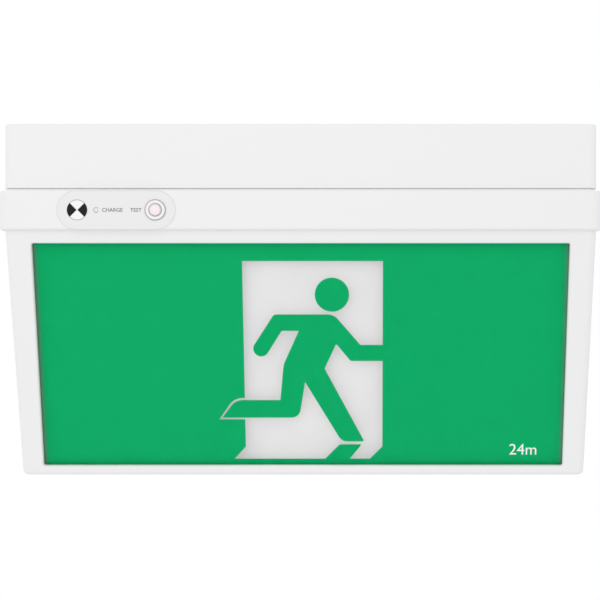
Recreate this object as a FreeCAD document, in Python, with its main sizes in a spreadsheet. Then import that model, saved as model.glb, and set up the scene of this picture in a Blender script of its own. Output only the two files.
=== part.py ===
import FreeCAD
import Part
import math
import os
import Sketcher
from FreeCAD import Placement, Rotation, Vector

# A ceiling-fixed emergency exit light: a gear housing above, and below it a V-shaped cover
# that carries the lit legend.  Millimetres, +Z up, X along the sign, the legend faces -Y.
# The origin is the centre of the ceiling face, so everything hangs below Z = 0.

DOC = FreeCAD.newDocument("EmergencyExitLight")

# ---------------------------------------------------------------- driving dimensions

SIZES = DOC.addObject("Spreadsheet::Sheet", "Sizes")
DRIVING = {
    # gear housing
    "housing_width": 346.0,
    "housing_depth": 72.0,
    "housing_height": 37.6,
    "housing_wall": 2.5,
    "housing_corner": 5.0,
    "top_round": 1.5,
    # cover: collar, skirt and V-shaped tub
    "shadow_gap": 1.4,
    "collar_proud": 3.0,
    "collar_height": 23.2,
    "collar_round": 1.6,
    "cover_wall": 2.5,
    "skirt_rise": 6.0,
    "skirt_wall": 1.8,
    "skirt_play": 0.4,
    "foot_depth": 20.3,
    "foot_rail": 5.8,
    "end_taper": 2.2,
    "foot_round": 3.2,
    # window and the stack behind it
    "stile": 15.7,
    "window_height": 135.6,
    "window_drop": 7.6,
    "window_corner": 1.2,
    "window_bevel": 0.6,
    "panel_lap": 2.8,
    "panel_play": 0.25,
    "print_gap": 0.05,
    "lens_thick": 2.0,
    "print_thick": 0.4,
    "field_depth": 5.5,
    "spacer_bar": 2.6,
    "diffuser_thick": 2.0,
    "sheet_thick": 0.8,
    "strip_thick": 1.2,
    "strip_width": 9.0,
    "strip_screw_edge": 8.1,
    "boss_radius": 2.9,
    # pictogram
    "picto_top": 11.0,
    "picto_shift": 6.6,
    "picto_base": 3.0,
    # ceiling fixing and cable entry
    "fixing_spacing": 200.0,
    "fixing_hole": 2.25,
    "fixing_slot": 10.0,
    "entry_hole": 10.0,
    "entry_boss": 3.5,
    "grommet_bore": 5.0,
    "grommet_flange": 13.5,
    "grommet_lip": 2.0,
    # gear tray and screws
    "tray_inset": 8.0,
    "tray_thick": 1.0,
    "tray_play": 0.5,
    "tray_flange": 5.0,
    "pillar_inset": 15.5,
    "pillar_side_room": 9.5,
    "pillar_radius": 4.0,
    "screw_radius": 1.4,
    "screw_head": 2.8,
    "screw_head_high": 1.6,
    "screw_play": 0.1,
    "screw_long": 8.0,
    # lamp strip
    "strip_end": 3.0,
    "strip_wide": 14.0,
    "board_thick": 1.6,
    "lamp_count": 14,
    "lamp_long": 3.5,
    "lamp_wide": 2.8,
    "lamp_high": 0.8,
    # battery
    "cell_count": 3,
    "battery_head_room": 2.8,
    "battery_end_room": 6.5,
    "battery_entry_room": 15.5,
    "battery_side_room": 0.2,
    "battery_lift": 1.5,
    "clip_thick": 0.8,
    "clip_wide": 12.0,
    # driver board
    "driver_end_room": 9.0,
    "driver_side_room": 1.0,
    "driver_long": 128.0,
    "driver_wide": 25.0,
    "standoff_high": 4.0,
    "standoff_radius": 2.5,
    "standoff_edge": 1.0,
    # components on the driver board, placed from its middle
    "core_long": 22.0,
    "core_wide": 14.0,
    "core_high": 13.0,
    "core_limb": 3.3,
    "coil_wide": 19.0,
    "coil_play": 0.2,
    "bobbin_foot": 2.0,
    "bobbin_long": 18.0,
    "bobbin_cheek": 1.0,
    "bulk_cap_x": -24.0,
    "bulk_cap_radius": 5.0,
    "bulk_cap_high": 14.0,
    "small_cap_x": -33.5,
    "output_cap_x": 22.0,
    "small_cap_radius": 4.0,
    "small_cap_high": 11.5,
    "cap_stagger": 2.5,
    "relay_x": 38.5,
    "relay_long": 15.0,
    "relay_wide": 10.0,
    "relay_high": 10.0,
    "fuse_x": 35.0,
    "fuse_side": 9.4,
    "fuse_lift": 3.4,
    "fuse_long": 20.0,
    "fuse_radius": 2.3,
    "fuse_cap_long": 5.0,
    "fuse_cap_radius": 2.6,
    "fuse_leg": 1.2,
    "header_count": 3,
    "header_x": -59.5,
    "header_pitch": 8.5,
    "header_long": 7.0,
    "header_wide": 6.0,
    "header_high": 8.0,
    "header_wall": 1.0,
    "header_floor": 3.0,
    # mains terminals
    "terminal_offset": 31.0,
    "terminal_side_room": 2.5,
    "terminal_ways": 4,
    "terminal_pitch": 10.0,
    "terminal_deep": 18.0,
    "terminal_high": 14.0,
    "wire_way": 4.2,
    "wire_way_lift": 2.8,
    "terminal_well": 2.5,
    "terminal_well_deep": 4.7,
    "terminal_screw_high": 2.3,
    "way_groove": 1.0,
    "way_groove_deep": 2.8,
    # internal leads
    "lead_radius": 0.5,
    "lead_bend": 1.4,
    "lead_pitch": 1.4,
    "lead_edge_gap": 2.0,
    "lead_arch": 3.6,
    "lead_stub": 2.5,
    "lead_hole": 2.6,
    "lead_gap": 1.25,
    # controls on the collar
    "label_inset": 66.5,
    "label_long": 69.0,
    "label_high": 22.8,
    "label_thick": 0.25,
    "button_offset": 22.7,
    "button_radius": 3.6,
    "button_play": 0.2,
    "button_proud": 1.2,
    "button_travel": 1.2,
    "bezel_radius": 6.1,
    "bezel_proud": 0.6,
    "guide_deep": 7.0,
    "guide_radius": 6.5,
    "stem_radius": 1.5,
    "lamp_offset": 11.5,
    "pipe_radius": 1.25,
    "disc_offset": 22.5,
    "disc_radius": 6.0,
    "control_set_back": 17.0,
    "switch_gap": 0.3,
    "switch_deep": 3.5,
    "plunger_long": 1.0,
    "button_flange": 1.2,
    "flange_thick": 1.2,
    "pipe_flange": 2.25,
    "lamp_skirt": 1.5,
    "plunger_radius": 1.65,
    "switch_half": 3.0,
    "quarter_radius": 5.6,
    "spring_wire": 0.25,
    "spring_turns": 3.5,
    "lamp_dome_long": 5.0,
    "indicator_edge": 7.0,
    "indicator_gap": 2.0,
    # grip springs
    "grip_thick": 0.5,
    "grip_wide": 12.0,
    "grip_screw_gap": 1.2,
    "grip_tab": 14.0,
    "grip_shoulder": 4.0,
    "grip_hook": 3.6,
    "grip_drop": 6.0,
    "grip_knee": 5.0,
    "grip_bend": 1.4,
}

# levels and half sizes worked out from the driving dimensions
DERIVED = {
    "half_w": "Sizes.housing_width / 2",
    "half_d": "Sizes.housing_depth / 2",
    "rim": "-Sizes.housing_height",
    "collar_top": "rim - Sizes.shadow_gap",
    "collar_foot": "collar_top - Sizes.collar_height",
    "collar_mid": "collar_top - Sizes.collar_height / 2",
    "slant_long": "Sizes.window_drop + Sizes.window_height + Sizes.foot_rail",
    "foot_half": "Sizes.foot_depth / 2",
    "lean_sine": "(half_d - foot_half) / slant_long",
    "lean_cosine": "sqrt(1 - lean_sine * lean_sine)",
    "slope": "lean_sine / lean_cosine",
    "tub_drop": "slant_long * lean_cosine",
    "foot": "collar_foot - tub_drop",
    "slant_wall": "Sizes.cover_wall / lean_cosine",
    "inner_w": "Sizes.housing_width / 2 - Sizes.housing_wall",
    "inner_d": "Sizes.housing_depth / 2 - Sizes.housing_wall",
    "front": "-half_d - Sizes.collar_proud",
    "skin": "front - Sizes.label_thick",
    "inside": "front + Sizes.cover_wall",
    "window_half": "half_w - Sizes.stile",
    "window_low": "-Sizes.window_drop - Sizes.window_height",
    "pane_w": "window_half + Sizes.panel_lap",
    "pane_top": "-Sizes.window_drop + Sizes.panel_lap",
    "pane_foot": "window_low - Sizes.panel_lap",
    "print_at": "Sizes.cover_wall + Sizes.lens_thick + Sizes.print_gap",
    "field_at": "print_at + Sizes.print_thick",
    "diffuser_at": "field_at + Sizes.field_depth",
    "stack_back": "diffuser_at + Sizes.diffuser_thick",
    "boss_at": "pane_w + Sizes.panel_play + Sizes.boss_radius",
    "picto_height": "Sizes.window_height - Sizes.picto_base - Sizes.picto_top",
    # gear tray and what stands on it
    "tray_top": "rim + Sizes.tray_inset",
    "tray_under": "tray_top - Sizes.tray_thick",
    "tray_w": "inner_w - Sizes.tray_play",
    "tray_d": "inner_d - Sizes.tray_play",
    "pillar_x": "inner_w - Sizes.pillar_inset",
    "pillar_y": "inner_d - Sizes.pillar_side_room",
    "bay_end": "pillar_x - Sizes.pillar_radius",
    "strip_half": "bay_end - Sizes.strip_end",
    "battery_low": "-bay_end + Sizes.battery_end_room",
    "cell_long": "(-Sizes.battery_entry_room - battery_low) / Sizes.cell_count",
    "cell_radius": "(-Sizes.housing_wall - tray_top - Sizes.battery_lift - Sizes.clip_thick"
                   " - Sizes.battery_head_room) / 2",
    "battery_y": "tray_d - Sizes.tray_thick - Sizes.battery_side_room - Sizes.clip_thick - cell_radius",
    "battery_z": "tray_top + Sizes.battery_lift + Sizes.clip_thick + cell_radius",
    "driver_x": "bay_end - Sizes.driver_end_room - Sizes.driver_long / 2",
    "driver_low": "driver_x - Sizes.driver_long / 2",
    "driver_y": "tray_d - Sizes.tray_thick - Sizes.driver_side_room - Sizes.driver_wide / 2",
    "driver_rear": "-driver_y + Sizes.driver_wide / 2",
    "board_under": "tray_top + Sizes.standoff_high",
    "board_top": "board_under + Sizes.board_thick",
    "terminal_x": "driver_low + Sizes.terminal_offset",
    "terminal_y": "tray_d - Sizes.tray_thick - Sizes.terminal_side_room - Sizes.terminal_deep / 2",
    "lead_lane": "(terminal_y - Sizes.terminal_deep / 2 - driver_rear) / 2 - Sizes.lead_edge_gap",
    "grip_y": "pillar_y - Sizes.screw_head - Sizes.grip_screw_gap - Sizes.grip_wide / 2",
    "wire_way_z": "tray_top + Sizes.wire_way_lift + Sizes.wire_way / 2",
    # controls
    "label_x": "half_w - Sizes.label_inset",
    "button_x": "-label_x + Sizes.button_offset",
    "lamp_x": "-label_x - Sizes.lamp_offset",
    "disc_x": "-label_x - Sizes.disc_offset",
    "control_face": "front + Sizes.control_set_back",
    "control_back": "control_face + Sizes.board_thick",
}


def fill_sheet(sheet, cells):
    """Write one row for each size: its name, its value and the alias that names the cell."""
    for row, (alias, value) in enumerate(cells.items(), start=1):
        sheet.set(f"A{row}", alias)
        sheet.set(f"B{row}", str(value) if not isinstance(value, str) else "=" + value)
        sheet.setAlias(f"B{row}", alias)


LEVELS = DOC.addObject("Spreadsheet::Sheet", "Levels")
fill_sheet(SIZES, DRIVING)
DOC.recompute()
fill_sheet(LEVELS, DERIVED)
DOC.recompute()


def value(alias):
    """The number that a cell holds, from either sheet."""
    sheet = SIZES if alias in DRIVING else LEVELS
    return float(sheet.get(alias))


# ---------------------------------------------------------------- building helpers

OVER = 1.0          # how far a cutter runs past the face that it opens
TOUCH = 0.05        # the gap left between a moving face and the face it rests against
NEAR = 1e-4         # lengths below this count as nothing
CORNERS = [(side_x, side_y) for side_x in ("-", "") for side_y in ("-", "")]
SUBPARTS = {}
TURN_TO = {"x": Rotation(Vector(0, 1, 0), 90), "y": Rotation(Vector(1, 0, 0), -90), "z": Rotation()}


def place(obj, x="0", y="0", z="0"):
    """Bind an object's position to three expressions."""
    for axis, expression in (("x", x), ("y", y), ("z", z)):
        obj.setExpression("Placement.Base." + axis, expression)
    return obj


def slab(name, x, y, z):
    """A box between two expressions along each axis."""
    obj = DOC.addObject("Part::Box", name)
    for prop, (low, high) in zip(("Length", "Width", "Height"), (x, y, z)):
        obj.setExpression(prop, f"({high}) - ({low})")
    return place(obj, x[0], y[0], z[0])


def rod(name, radius, length, at, axis="z"):
    """A cylinder that starts at a point and runs along +X, +Y or +Z."""
    obj = DOC.addObject("Part::Cylinder", name)
    obj.Placement = Placement(Vector(), TURN_TO[axis])
    obj.setExpression("Radius", radius)
    obj.setExpression("Height", length)
    return place(obj, *at)


def join(name, parts):
    obj = DOC.addObject("Part::MultiFuse", name)
    obj.Shapes = parts
    obj.Refine = True
    return obj


def cut(name, base, tools):
    """Cut one object, or several joined first, out of a base."""
    obj = DOC.addObject("Part::Cut", name)
    obj.Base = base
    obj.Tool = tools[0] if len(tools) == 1 else join(name + "_tools", tools)
    return obj


def group(name, parts):
    """Several separate solids that are kept as one sub-part."""
    obj = DOC.addObject("Part::Compound", name)
    obj.Links = parts
    return obj


def solid(name, shape, placement=None):
    """A shape made with Part's own functions, as an object of the document."""
    obj = DOC.addObject("Part::Feature", name)
    obj.Shape = shape
    if placement is not None:
        obj.Placement = placement
    return obj


def keep(label, obj):
    """Name a finished sub-part; the label is also its file's name."""
    obj.Label = label
    SUBPARTS[label] = obj
    return obj


def on_sign(obj, rear=False):
    """Lay an object on the tub's sloping front face, or on its rear face.

    Local X stays X, local Z climbs the slope and local Y goes into the tub (out of it at the
    rear).  The local origin is the middle of the face's upper edge, under the collar.
    """
    obj.Placement = Placement(Vector(), Rotation(Vector(-1 if rear else 1, 0, 0), 1))
    obj.setExpression("Placement.Rotation.Angle", "asin(Levels.lean_sine)")
    return place(obj, "0", "Levels.half_d" if rear else "-Levels.half_d", "Levels.collar_foot")


def sketch_on(body, name, role, offset="0"):
    """A sketch on one of the body's own origin planes, moved along its normal."""
    sketch = body.newObject("Sketcher::SketchObject", name)
    plane = next(f for f in body.Origin.OriginFeatures if f.Role == role)
    sketch.AttachmentSupport = (plane, "")
    sketch.MapMode = "FlatFace"
    sketch.setExpression("AttachmentOffset.Base.z", offset)
    return sketch


def draw_rectangle(sketch, left, right, low, high, corner):
    """A rectangle with four equal round corners, each side bound to an expression."""
    start = 10.0
    bend = 2.0
    straight = start - bend
    quarter = math.pi / 2
    sides = [((-straight, -start), (straight, -start)), ((start, -straight), (start, straight)),
             ((straight, start), (-straight, start)), ((-start, straight), (-start, -straight))]
    centres = [(straight, -straight), (straight, straight), (-straight, straight), (-straight, -straight)]
    first = len(sketch.Geometry)
    for side, ((x0, y0), (x1, y1)) in enumerate(sides):
        sketch.addGeometry(Part.LineSegment(Vector(x0, y0, 0), Vector(x1, y1, 0)))
        circle = Part.Circle(Vector(*centres[side], 0), Vector(0, 0, 1), bend)
        sketch.addGeometry(Part.ArcOfCircle(circle, (side - 1) * quarter, side * quarter))
    for side in range(4):
        line = first + 2 * side
        following = first + (2 * side + 2) % 8
        sketch.addConstraint(Sketcher.Constraint("Tangent", line, 2, line + 1, 1))
        sketch.addConstraint(Sketcher.Constraint("Tangent", line + 1, 2, following, 1))
        sketch.addConstraint(Sketcher.Constraint("Horizontal" if side % 2 == 0 else "Vertical", line))
    for arc in (3, 5, 7):
        sketch.addConstraint(Sketcher.Constraint("Equal", first + 1, first + arc))
    bound = [("Radius", (first + 1, bend), corner),
             ("DistanceY", (-1, 1, first, 1, -start), low),
             ("DistanceX", (-1, 1, first + 2, 1, start), right),
             ("DistanceY", (-1, 1, first + 4, 1, start), high),
             ("DistanceX", (-1, 1, first + 6, 1, -start), left)]
    for kind, where, expression in bound:
        number = sketch.addConstraint(Sketcher.Constraint(kind, *where))
        sketch.setExpression(f"Constraints[{number}]", expression)


def rounded_sketch(body, name, half_w, half_d, corner, level):
    """A centred rounded rectangle at a level of the plan view."""
    sketch = sketch_on(body, name, "XY_Plane", level)
    draw_rectangle(sketch, f"-({half_w})", half_w, f"-({half_d})", half_d, corner)
    return sketch


def feature(body, kind, name, **links):
    """Add a PartDesign feature and set its plain properties."""
    obj = body.newObject("PartDesign::" + kind, name)
    for prop, content in links.items():
        setattr(obj, prop, content)
    return obj


def padded(name, half_w, half_d, corner, low, high):
    """A body whose pad is a rounded rectangle between two levels."""
    body = DOC.addObject("PartDesign::Body", name)
    sketch = rounded_sketch(body, name + "_plan", half_w, half_d, corner, low)
    pad = feature(body, "Pad", name + "_pad", Profile=sketch)
    pad.setExpression("Length", f"({high}) - ({low})")
    return body


def wedged(name, top, foot, corner):
    """A body that tapers down from one centred rectangle to another, its upright edges rounded.

    The top and the foot are (half width, half depth, level).  The wedge's own Y runs down.
    """
    body = DOC.addObject("PartDesign::Body", name)
    wedge = feature(body, "AdditiveWedge", name + "_wedge",
                    Placement=Placement(Vector(), Rotation(Vector(1, 0, 0), -90)))
    for prop, expression in (("Xmin", f"-({top[0]})"), ("Xmax", top[0]),
                             ("Zmin", f"-({top[1]})"), ("Zmax", top[1]),
                             ("X2min", f"-({foot[0]})"), ("X2max", foot[0]),
                             ("Z2min", f"-({foot[1]})"), ("Z2max", foot[1]),
                             ("Ymin", "0"), ("Ymax", f"({top[2]}) - ({foot[2]})"),
                             ("Placement.Base.z", top[2])):
        wedge.setExpression(prop, expression)
    DOC.recompute()
    upright = [f"Edge{i}" for i, edge in enumerate(body.Tip.Shape.Edges, start=1)
               if abs(edge.Vertexes[0].Z - edge.Vertexes[-1].Z) > NEAR]
    rounded = feature(body, "Fillet", name + "_corners", Base=(body.Tip, upright))
    rounded.setExpression("Radius", corner)
    body.Tip = rounded
    return body


def edges_at(body, axis, level):
    """The names of the edges of the body's tip that lie wholly at one level along X, Y or Z."""
    DOC.recompute()
    return [f"Edge{i}" for i, edge in enumerate(body.Tip.Shape.Edges, start=1)
            if all(abs(getattr(vertex.Point, axis) - level) < NEAR for vertex in edge.Vertexes)]


def round_edges(body, radius, level):
    """Fillet every edge of the body's tip that lies at one height."""
    names = edges_at(body, "z", level)
    fillet = feature(body, "Fillet", body.Name + f"_round{len(body.Group)}", Base=(body.Tip, names))
    fillet.setExpression("Radius", radius)
    body.Tip = fillet
    return body


def pane(name, half_w, low, high, corner, near, thick):
    """A flat plate parallel to the sign's face, with its near face at a depth behind it."""
    body = DOC.addObject("PartDesign::Body", name)
    sketch = sketch_on(body, name + "_outline", "XZ_Plane", f"-({near})")
    draw_rectangle(sketch, f"-({half_w})", half_w, low, high, corner)
    pad = feature(body, "Pad", name + "_pad", Profile=sketch, Reversed=True)
    pad.setExpression("Length", thick)
    return on_sign(body)


def rounded_wire(corners, closed):
    """Straight edges between (point, radius) corners, with a tangent arc at each rounded one."""
    count = len(corners)
    starts, ends, middles = [], [], []
    for index, (corner, radius) in enumerate(corners):
        if radius <= 0:
            starts.append(corner)
            ends.append(corner)
            middles.append(corner)
            continue
        back = (corners[index - 1][0] - corner).normalize()
        ahead = (corners[(index + 1) % count][0] - corner).normalize()
        half_angle = back.getAngle(ahead) / 2
        reach = radius / math.tan(half_angle)
        starts.append(corner + back * reach)
        ends.append(corner + ahead * reach)
        bisector = (back + ahead).normalize()
        middles.append(corner + bisector * (radius / math.sin(half_angle) - radius))
    edges = []
    for index, (corner, radius) in enumerate(corners):
        if radius > 0:
            edges.append(Part.Arc(starts[index], middles[index], ends[index]).toShape())
        following = starts[(index + 1) % count]
        if (closed or index < count - 1) and (following - ends[index]).Length > NEAR:
            edges.append(Part.LineSegment(ends[index], following).toShape())
    return Part.Wire(edges)


def swept(spine, radius):
    """A wire of six-sided section along a chain of points, mitred where it turns."""
    side_count = 6
    right_corners = 1
    ahead = (spine[1] - spine[0]).normalize()
    across = Vector(ahead.y, ahead.z, ahead.x)
    side = (across - ahead * across.dot(ahead)).normalize()
    up = ahead.cross(side)
    angles = [2 * math.pi * k / side_count for k in range(side_count)]
    rim = [spine[0] + (side * math.cos(angle) + up * math.sin(angle)) * radius for angle in angles]
    section = Part.makePolygon(rim + rim[:1])
    return Part.makePolygon(spine).makePipeShell([section], True, False, right_corners)


def outline(points):
    """A closed wire in the XZ plane from (x, z, radius) corners."""
    return rounded_wire([(Vector(x, 0, z), radius) for x, z, radius in points], True)


def centred(name, at, size):
    """A box centred on a point in plan and standing on a level; its size is along X, Y and Z."""
    (x, y, z), (along_x, along_y, along_z) = at, size
    return slab(name, (f"{x} - ({along_x}) / 2", f"{x} + ({along_x}) / 2"),
                (f"{y} - ({along_y}) / 2", f"{y} + ({along_y}) / 2"), (z, f"{z} + {along_z}"))


# ---------------------------------------------------------------- gear housing

def gear_housing():
    """The upper moulding: an open-mouthed box with screw pillars and a cable entry."""
    shell = padded("housing_shell", "Levels.half_w", "Levels.half_d", "Sizes.housing_corner",
                   "Levels.rim", "0")
    round_edges(shell, "Sizes.top_round", 0.0)
    hollow = padded("housing_hollow", "Levels.inner_w", "Levels.inner_d",
                    "Sizes.housing_corner - Sizes.housing_wall",
                    f"Levels.rim - {OVER}", "-Sizes.housing_wall")
    pillars = [rod("housing_pillar", "Sizes.pillar_radius",
                   "-Sizes.housing_wall - Levels.tray_top + Sizes.housing_wall / 2",
                   (f"{sx}Levels.pillar_x", f"{sy}Levels.pillar_y", "Levels.tray_top"))
               for sx, sy in CORNERS]
    boss = rod("entry_boss_block", "Sizes.grommet_flange + Sizes.housing_wall",
               "Sizes.entry_boss + Sizes.housing_wall / 2",
               ("0", "0", "-Sizes.housing_wall - Sizes.entry_boss"))
    box = join("housing_body", [cut("housing_box", shell, [hollow])] + pillars + [boss])
    depth = "Sizes.housing_wall + Sizes.entry_boss"
    tools = [rod("entry_hole_cut", "Sizes.entry_hole", f"{depth} + {2 * OVER}",
                 ("0", "0", f"-({depth}) - {OVER}")),
             rod("entry_seat_cut", "Sizes.grommet_flange + Sizes.panel_play",
                 f"Sizes.grommet_lip + Sizes.panel_play + {OVER}",
                 ("0", "0", "-Sizes.grommet_lip - Sizes.panel_play"))]
    tools += [rod("pillar_pilot", "Sizes.screw_radius + Sizes.screw_play / 2",
                  f"Sizes.screw_long + {2 * OVER}",
                  (f"{sx}Levels.pillar_x", f"{sy}Levels.pillar_y", f"Levels.tray_top - {OVER}"))
              for sx, sy in CORNERS]
    for side in ("-", ""):
        middle = f"{side}Sizes.fixing_spacing / 2"
        reach = "Sizes.fixing_slot / 2 - Sizes.fixing_hole"
        span = ("-Sizes.housing_wall - Sizes.fixing_hole", "Sizes.fixing_hole")
        tools.append(slab("fixing_slot_cut", (f"{middle} - ({reach})", f"{middle} + {reach}"),
                          ("-Sizes.fixing_hole", "Sizes.fixing_hole"), span))
        tools += [rod("fixing_end_cut", "Sizes.fixing_hole", f"({span[1]}) - ({span[0]})",
                      (f"{middle} {end} ({reach})", "0", span[0])) for end in "-+"]
    return keep("gear_housing", cut("housing_cut", box, tools))


def cable_grommet():
    """A soft ring with two flanges, sunk flush in the housing's cable entry."""
    wall = "Sizes.housing_wall + Sizes.entry_boss"
    top = "-Sizes.panel_play"
    lower = f"-({wall}) - Sizes.grommet_lip"
    upper_flange = rod("grommet_upper", "Sizes.grommet_flange", "Sizes.grommet_lip",
                       ("0", "0", f"{top} - Sizes.grommet_lip"))
    neck = rod("grommet_neck", "Sizes.entry_hole - Sizes.screw_play", f"{top} - ({lower})",
               ("0", "0", lower))
    lower_flange = rod("grommet_lower", "Sizes.grommet_flange", "Sizes.grommet_lip", ("0", "0", lower))
    body = join("grommet_body", [upper_flange, neck, lower_flange])
    bore = rod("grommet_bore_cut", "Sizes.grommet_bore", f"{wall} + Sizes.grommet_lip + {2 * OVER}",
               ("0", "0", f"{lower} - {OVER}"))
    return keep("cable_grommet", cut("grommet_cut", body, [bore]))


# ---------------------------------------------------------------- gear tray and its screws

def gear_tray():
    """The pressed steel plate that closes the housing and carries everything electrical."""
    plate = padded("tray_plate", "Levels.tray_w", "Levels.tray_d",
                   "Sizes.housing_corner - Sizes.housing_wall", "Levels.tray_under", "Levels.tray_top")
    ends = "Levels.bay_end - Sizes.tray_flange"
    along = (f"-({ends})", ends)
    rise = ("Levels.tray_under", "Levels.tray_top + Sizes.tray_flange")
    rear = slab("tray_flange_rear", along, ("Levels.tray_d - Sizes.tray_thick", "Levels.tray_d"), rise)
    front = slab("tray_flange_front", along, ("-Levels.tray_d", "-Levels.tray_d + Sizes.tray_thick"), rise)
    holes = [rod("tray_hole", "Sizes.screw_radius + Sizes.screw_play",
                 f"Sizes.tray_thick + {2 * OVER}",
                 (f"{sx}Levels.pillar_x", f"{sy}Levels.pillar_y", f"Levels.tray_under - {OVER}"))
             for sx, sy in CORNERS]
    holes += [rod("lead_hole", "Sizes.lead_hole", f"Sizes.tray_thick + {2 * OVER}",
                  (x, y, f"Levels.tray_under - {OVER}")) for x, y in lead_holes()]
    return keep("gear_tray", cut("tray_cut", join("tray_folded", [plate, rear, front]), holes))


def tray_screws():
    """Four pan-head screws driven up into the housing's pillars."""
    screws = []
    for sx, sy in CORNERS:
        x, y = f"{sx}Levels.pillar_x", f"{sy}Levels.pillar_y"
        head = rod("tray_screw_head", "Sizes.screw_head", "Sizes.screw_head_high",
                   (x, y, "Levels.tray_under - Sizes.screw_head_high"))
        shank = rod("tray_screw_shank", "Sizes.screw_radius", "Sizes.screw_long", (x, y, "Levels.tray_under"))
        screws.append(join("tray_screw", [head, shank]))
    keep("tray_screws", group("tray_screw_set", screws))


# ---------------------------------------------------------------- lamp strip

def lamp_strip():
    """The long circuit board under the tray, and its row of small square lamps."""
    under = "Levels.tray_under - Sizes.board_thick"
    keep("lamp_board", slab("lamp_board", ("-Levels.strip_half", "Levels.strip_half"),
                            ("-Sizes.strip_wide / 2", "Sizes.strip_wide / 2"),
                            (under, "Levels.tray_under")))
    count = int(value("lamp_count"))
    size = ("Sizes.lamp_long", "Sizes.lamp_wide", "Sizes.lamp_high")
    lamps = []
    for index in range(count):
        middle = f"Levels.strip_half * ({2 * index + 1} / Sizes.lamp_count - 1)"
        lamps.append(centred(f"lamp_{index}", (middle, "0", f"{under} - Sizes.lamp_high"), size))
    keep("lamps", group("lamp_row", lamps))


# ---------------------------------------------------------------- battery

def battery():
    """The cells in one shrink sleeve, lying along the tray in two spring clips."""
    axis = ("Levels.battery_y", "Levels.battery_z")
    crimp = "Sizes.clip_thick"
    count = int(value("cell_count"))
    starts = [f"Levels.battery_low + {index} * Levels.cell_long" for index in range(count)]
    cells = [rod("cell", "Levels.cell_radius", f"Levels.cell_long - 2 * {crimp}",
                 (f"{start} + {crimp}", *axis), "x") for start in starts]
    sleeve = rod("cell_sleeve", f"Levels.cell_radius - {crimp}", "Sizes.cell_count * Levels.cell_long",
                 (starts[0], *axis), "x")
    keep("battery_pack", join("battery_body", cells + [sleeve]))
    wide = "Levels.cell_radius + 2 * Sizes.clip_thick"
    half_foot = "Levels.cell_radius / 2"
    clips = []
    for clasped in (starts[0], starts[-1]):
        start = f"{clasped} + (Levels.cell_long - Sizes.clip_wide) / 2"
        ring = rod("clip_ring", "Levels.cell_radius + Sizes.clip_thick", "Sizes.clip_wide",
                   (start, *axis), "x")
        foot = slab("clip_foot", (start, f"{start} + Sizes.clip_wide"),
                    (f"Levels.battery_y - {half_foot}", f"Levels.battery_y + {half_foot}"),
                    ("Levels.tray_top", f"Levels.battery_z - {half_foot}"))
        mouth = slab("clip_mouth", (f"{start} - {OVER}", f"{start} + Sizes.clip_wide + {OVER}"),
                     (f"Levels.battery_y - ({wide})", f"Levels.battery_y + {wide}"),
                     (f"Levels.battery_z + {half_foot}", f"Levels.battery_z + {wide}"))
        room = rod("clip_room", f"Levels.cell_radius + {TOUCH}", f"Sizes.clip_wide + {2 * OVER}",
                   (f"{start} - {OVER}", *axis), "x")
        clips.append(cut("clip", join("clip_blank", [ring, foot]), [mouth, room]))
    keep("battery_clips", group("clip_pair", clips))


# ---------------------------------------------------------------- driver board

def on_board(along="0", across="0", lift="0"):
    """A point above the driver board, measured from the middle of its top face."""
    return f"Levels.driver_x + {along}", f"-Levels.driver_y + {across}", f"Levels.board_top + {lift}"


def driver():
    """The charging and lamp-driving circuit on four standoffs."""
    half_long, half_wide = "Sizes.driver_long / 2", "Sizes.driver_wide / 2"
    board = centred("driver_plate", ("Levels.driver_x", "-Levels.driver_y", "Levels.board_under"),
                    ("Sizes.driver_long", "Sizes.driver_wide", "Sizes.board_thick"))
    hole = "Sizes.screw_radius + Sizes.screw_play"
    inset_x = f"({half_long} - 2 * Sizes.standoff_radius)"
    inset_y = f"({half_wide} - Sizes.standoff_radius - Sizes.standoff_edge)"
    corners = [on_board(f"{sx}{inset_x}", f"{sy}{inset_y}") for sx, sy in CORNERS]
    holes, posts, screws = [], [], []
    for x, y, top in corners:
        holes.append(rod("driver_hole", hole, f"Sizes.board_thick + {2 * OVER}",
                         (x, y, f"Levels.board_under - {OVER}")))
        post = rod("standoff_post", "Sizes.standoff_radius", "Sizes.standoff_high", (x, y, "Levels.tray_top"))
        pilot = rod("standoff_pilot", hole, f"Sizes.standoff_high + {2 * OVER}",
                    (x, y, f"Levels.tray_top - {OVER}"))
        posts.append(cut("standoff", post, [pilot]))
        head = rod("board_screw_head", "Sizes.screw_head", "Sizes.screw_head_high", (x, y, top))
        tip = "Levels.tray_top + Sizes.screw_play"
        shank = rod("board_screw_shank", "Sizes.screw_radius", f"Levels.board_top - ({tip})", (x, y, tip))
        screws.append(join("board_screw", [head, shank]))
    keep("driver_board", cut("driver_board_cut", board, holes))
    keep("board_standoffs", group("standoff_set", posts))
    keep("board_screws", group("board_screw_set", screws))


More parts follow.
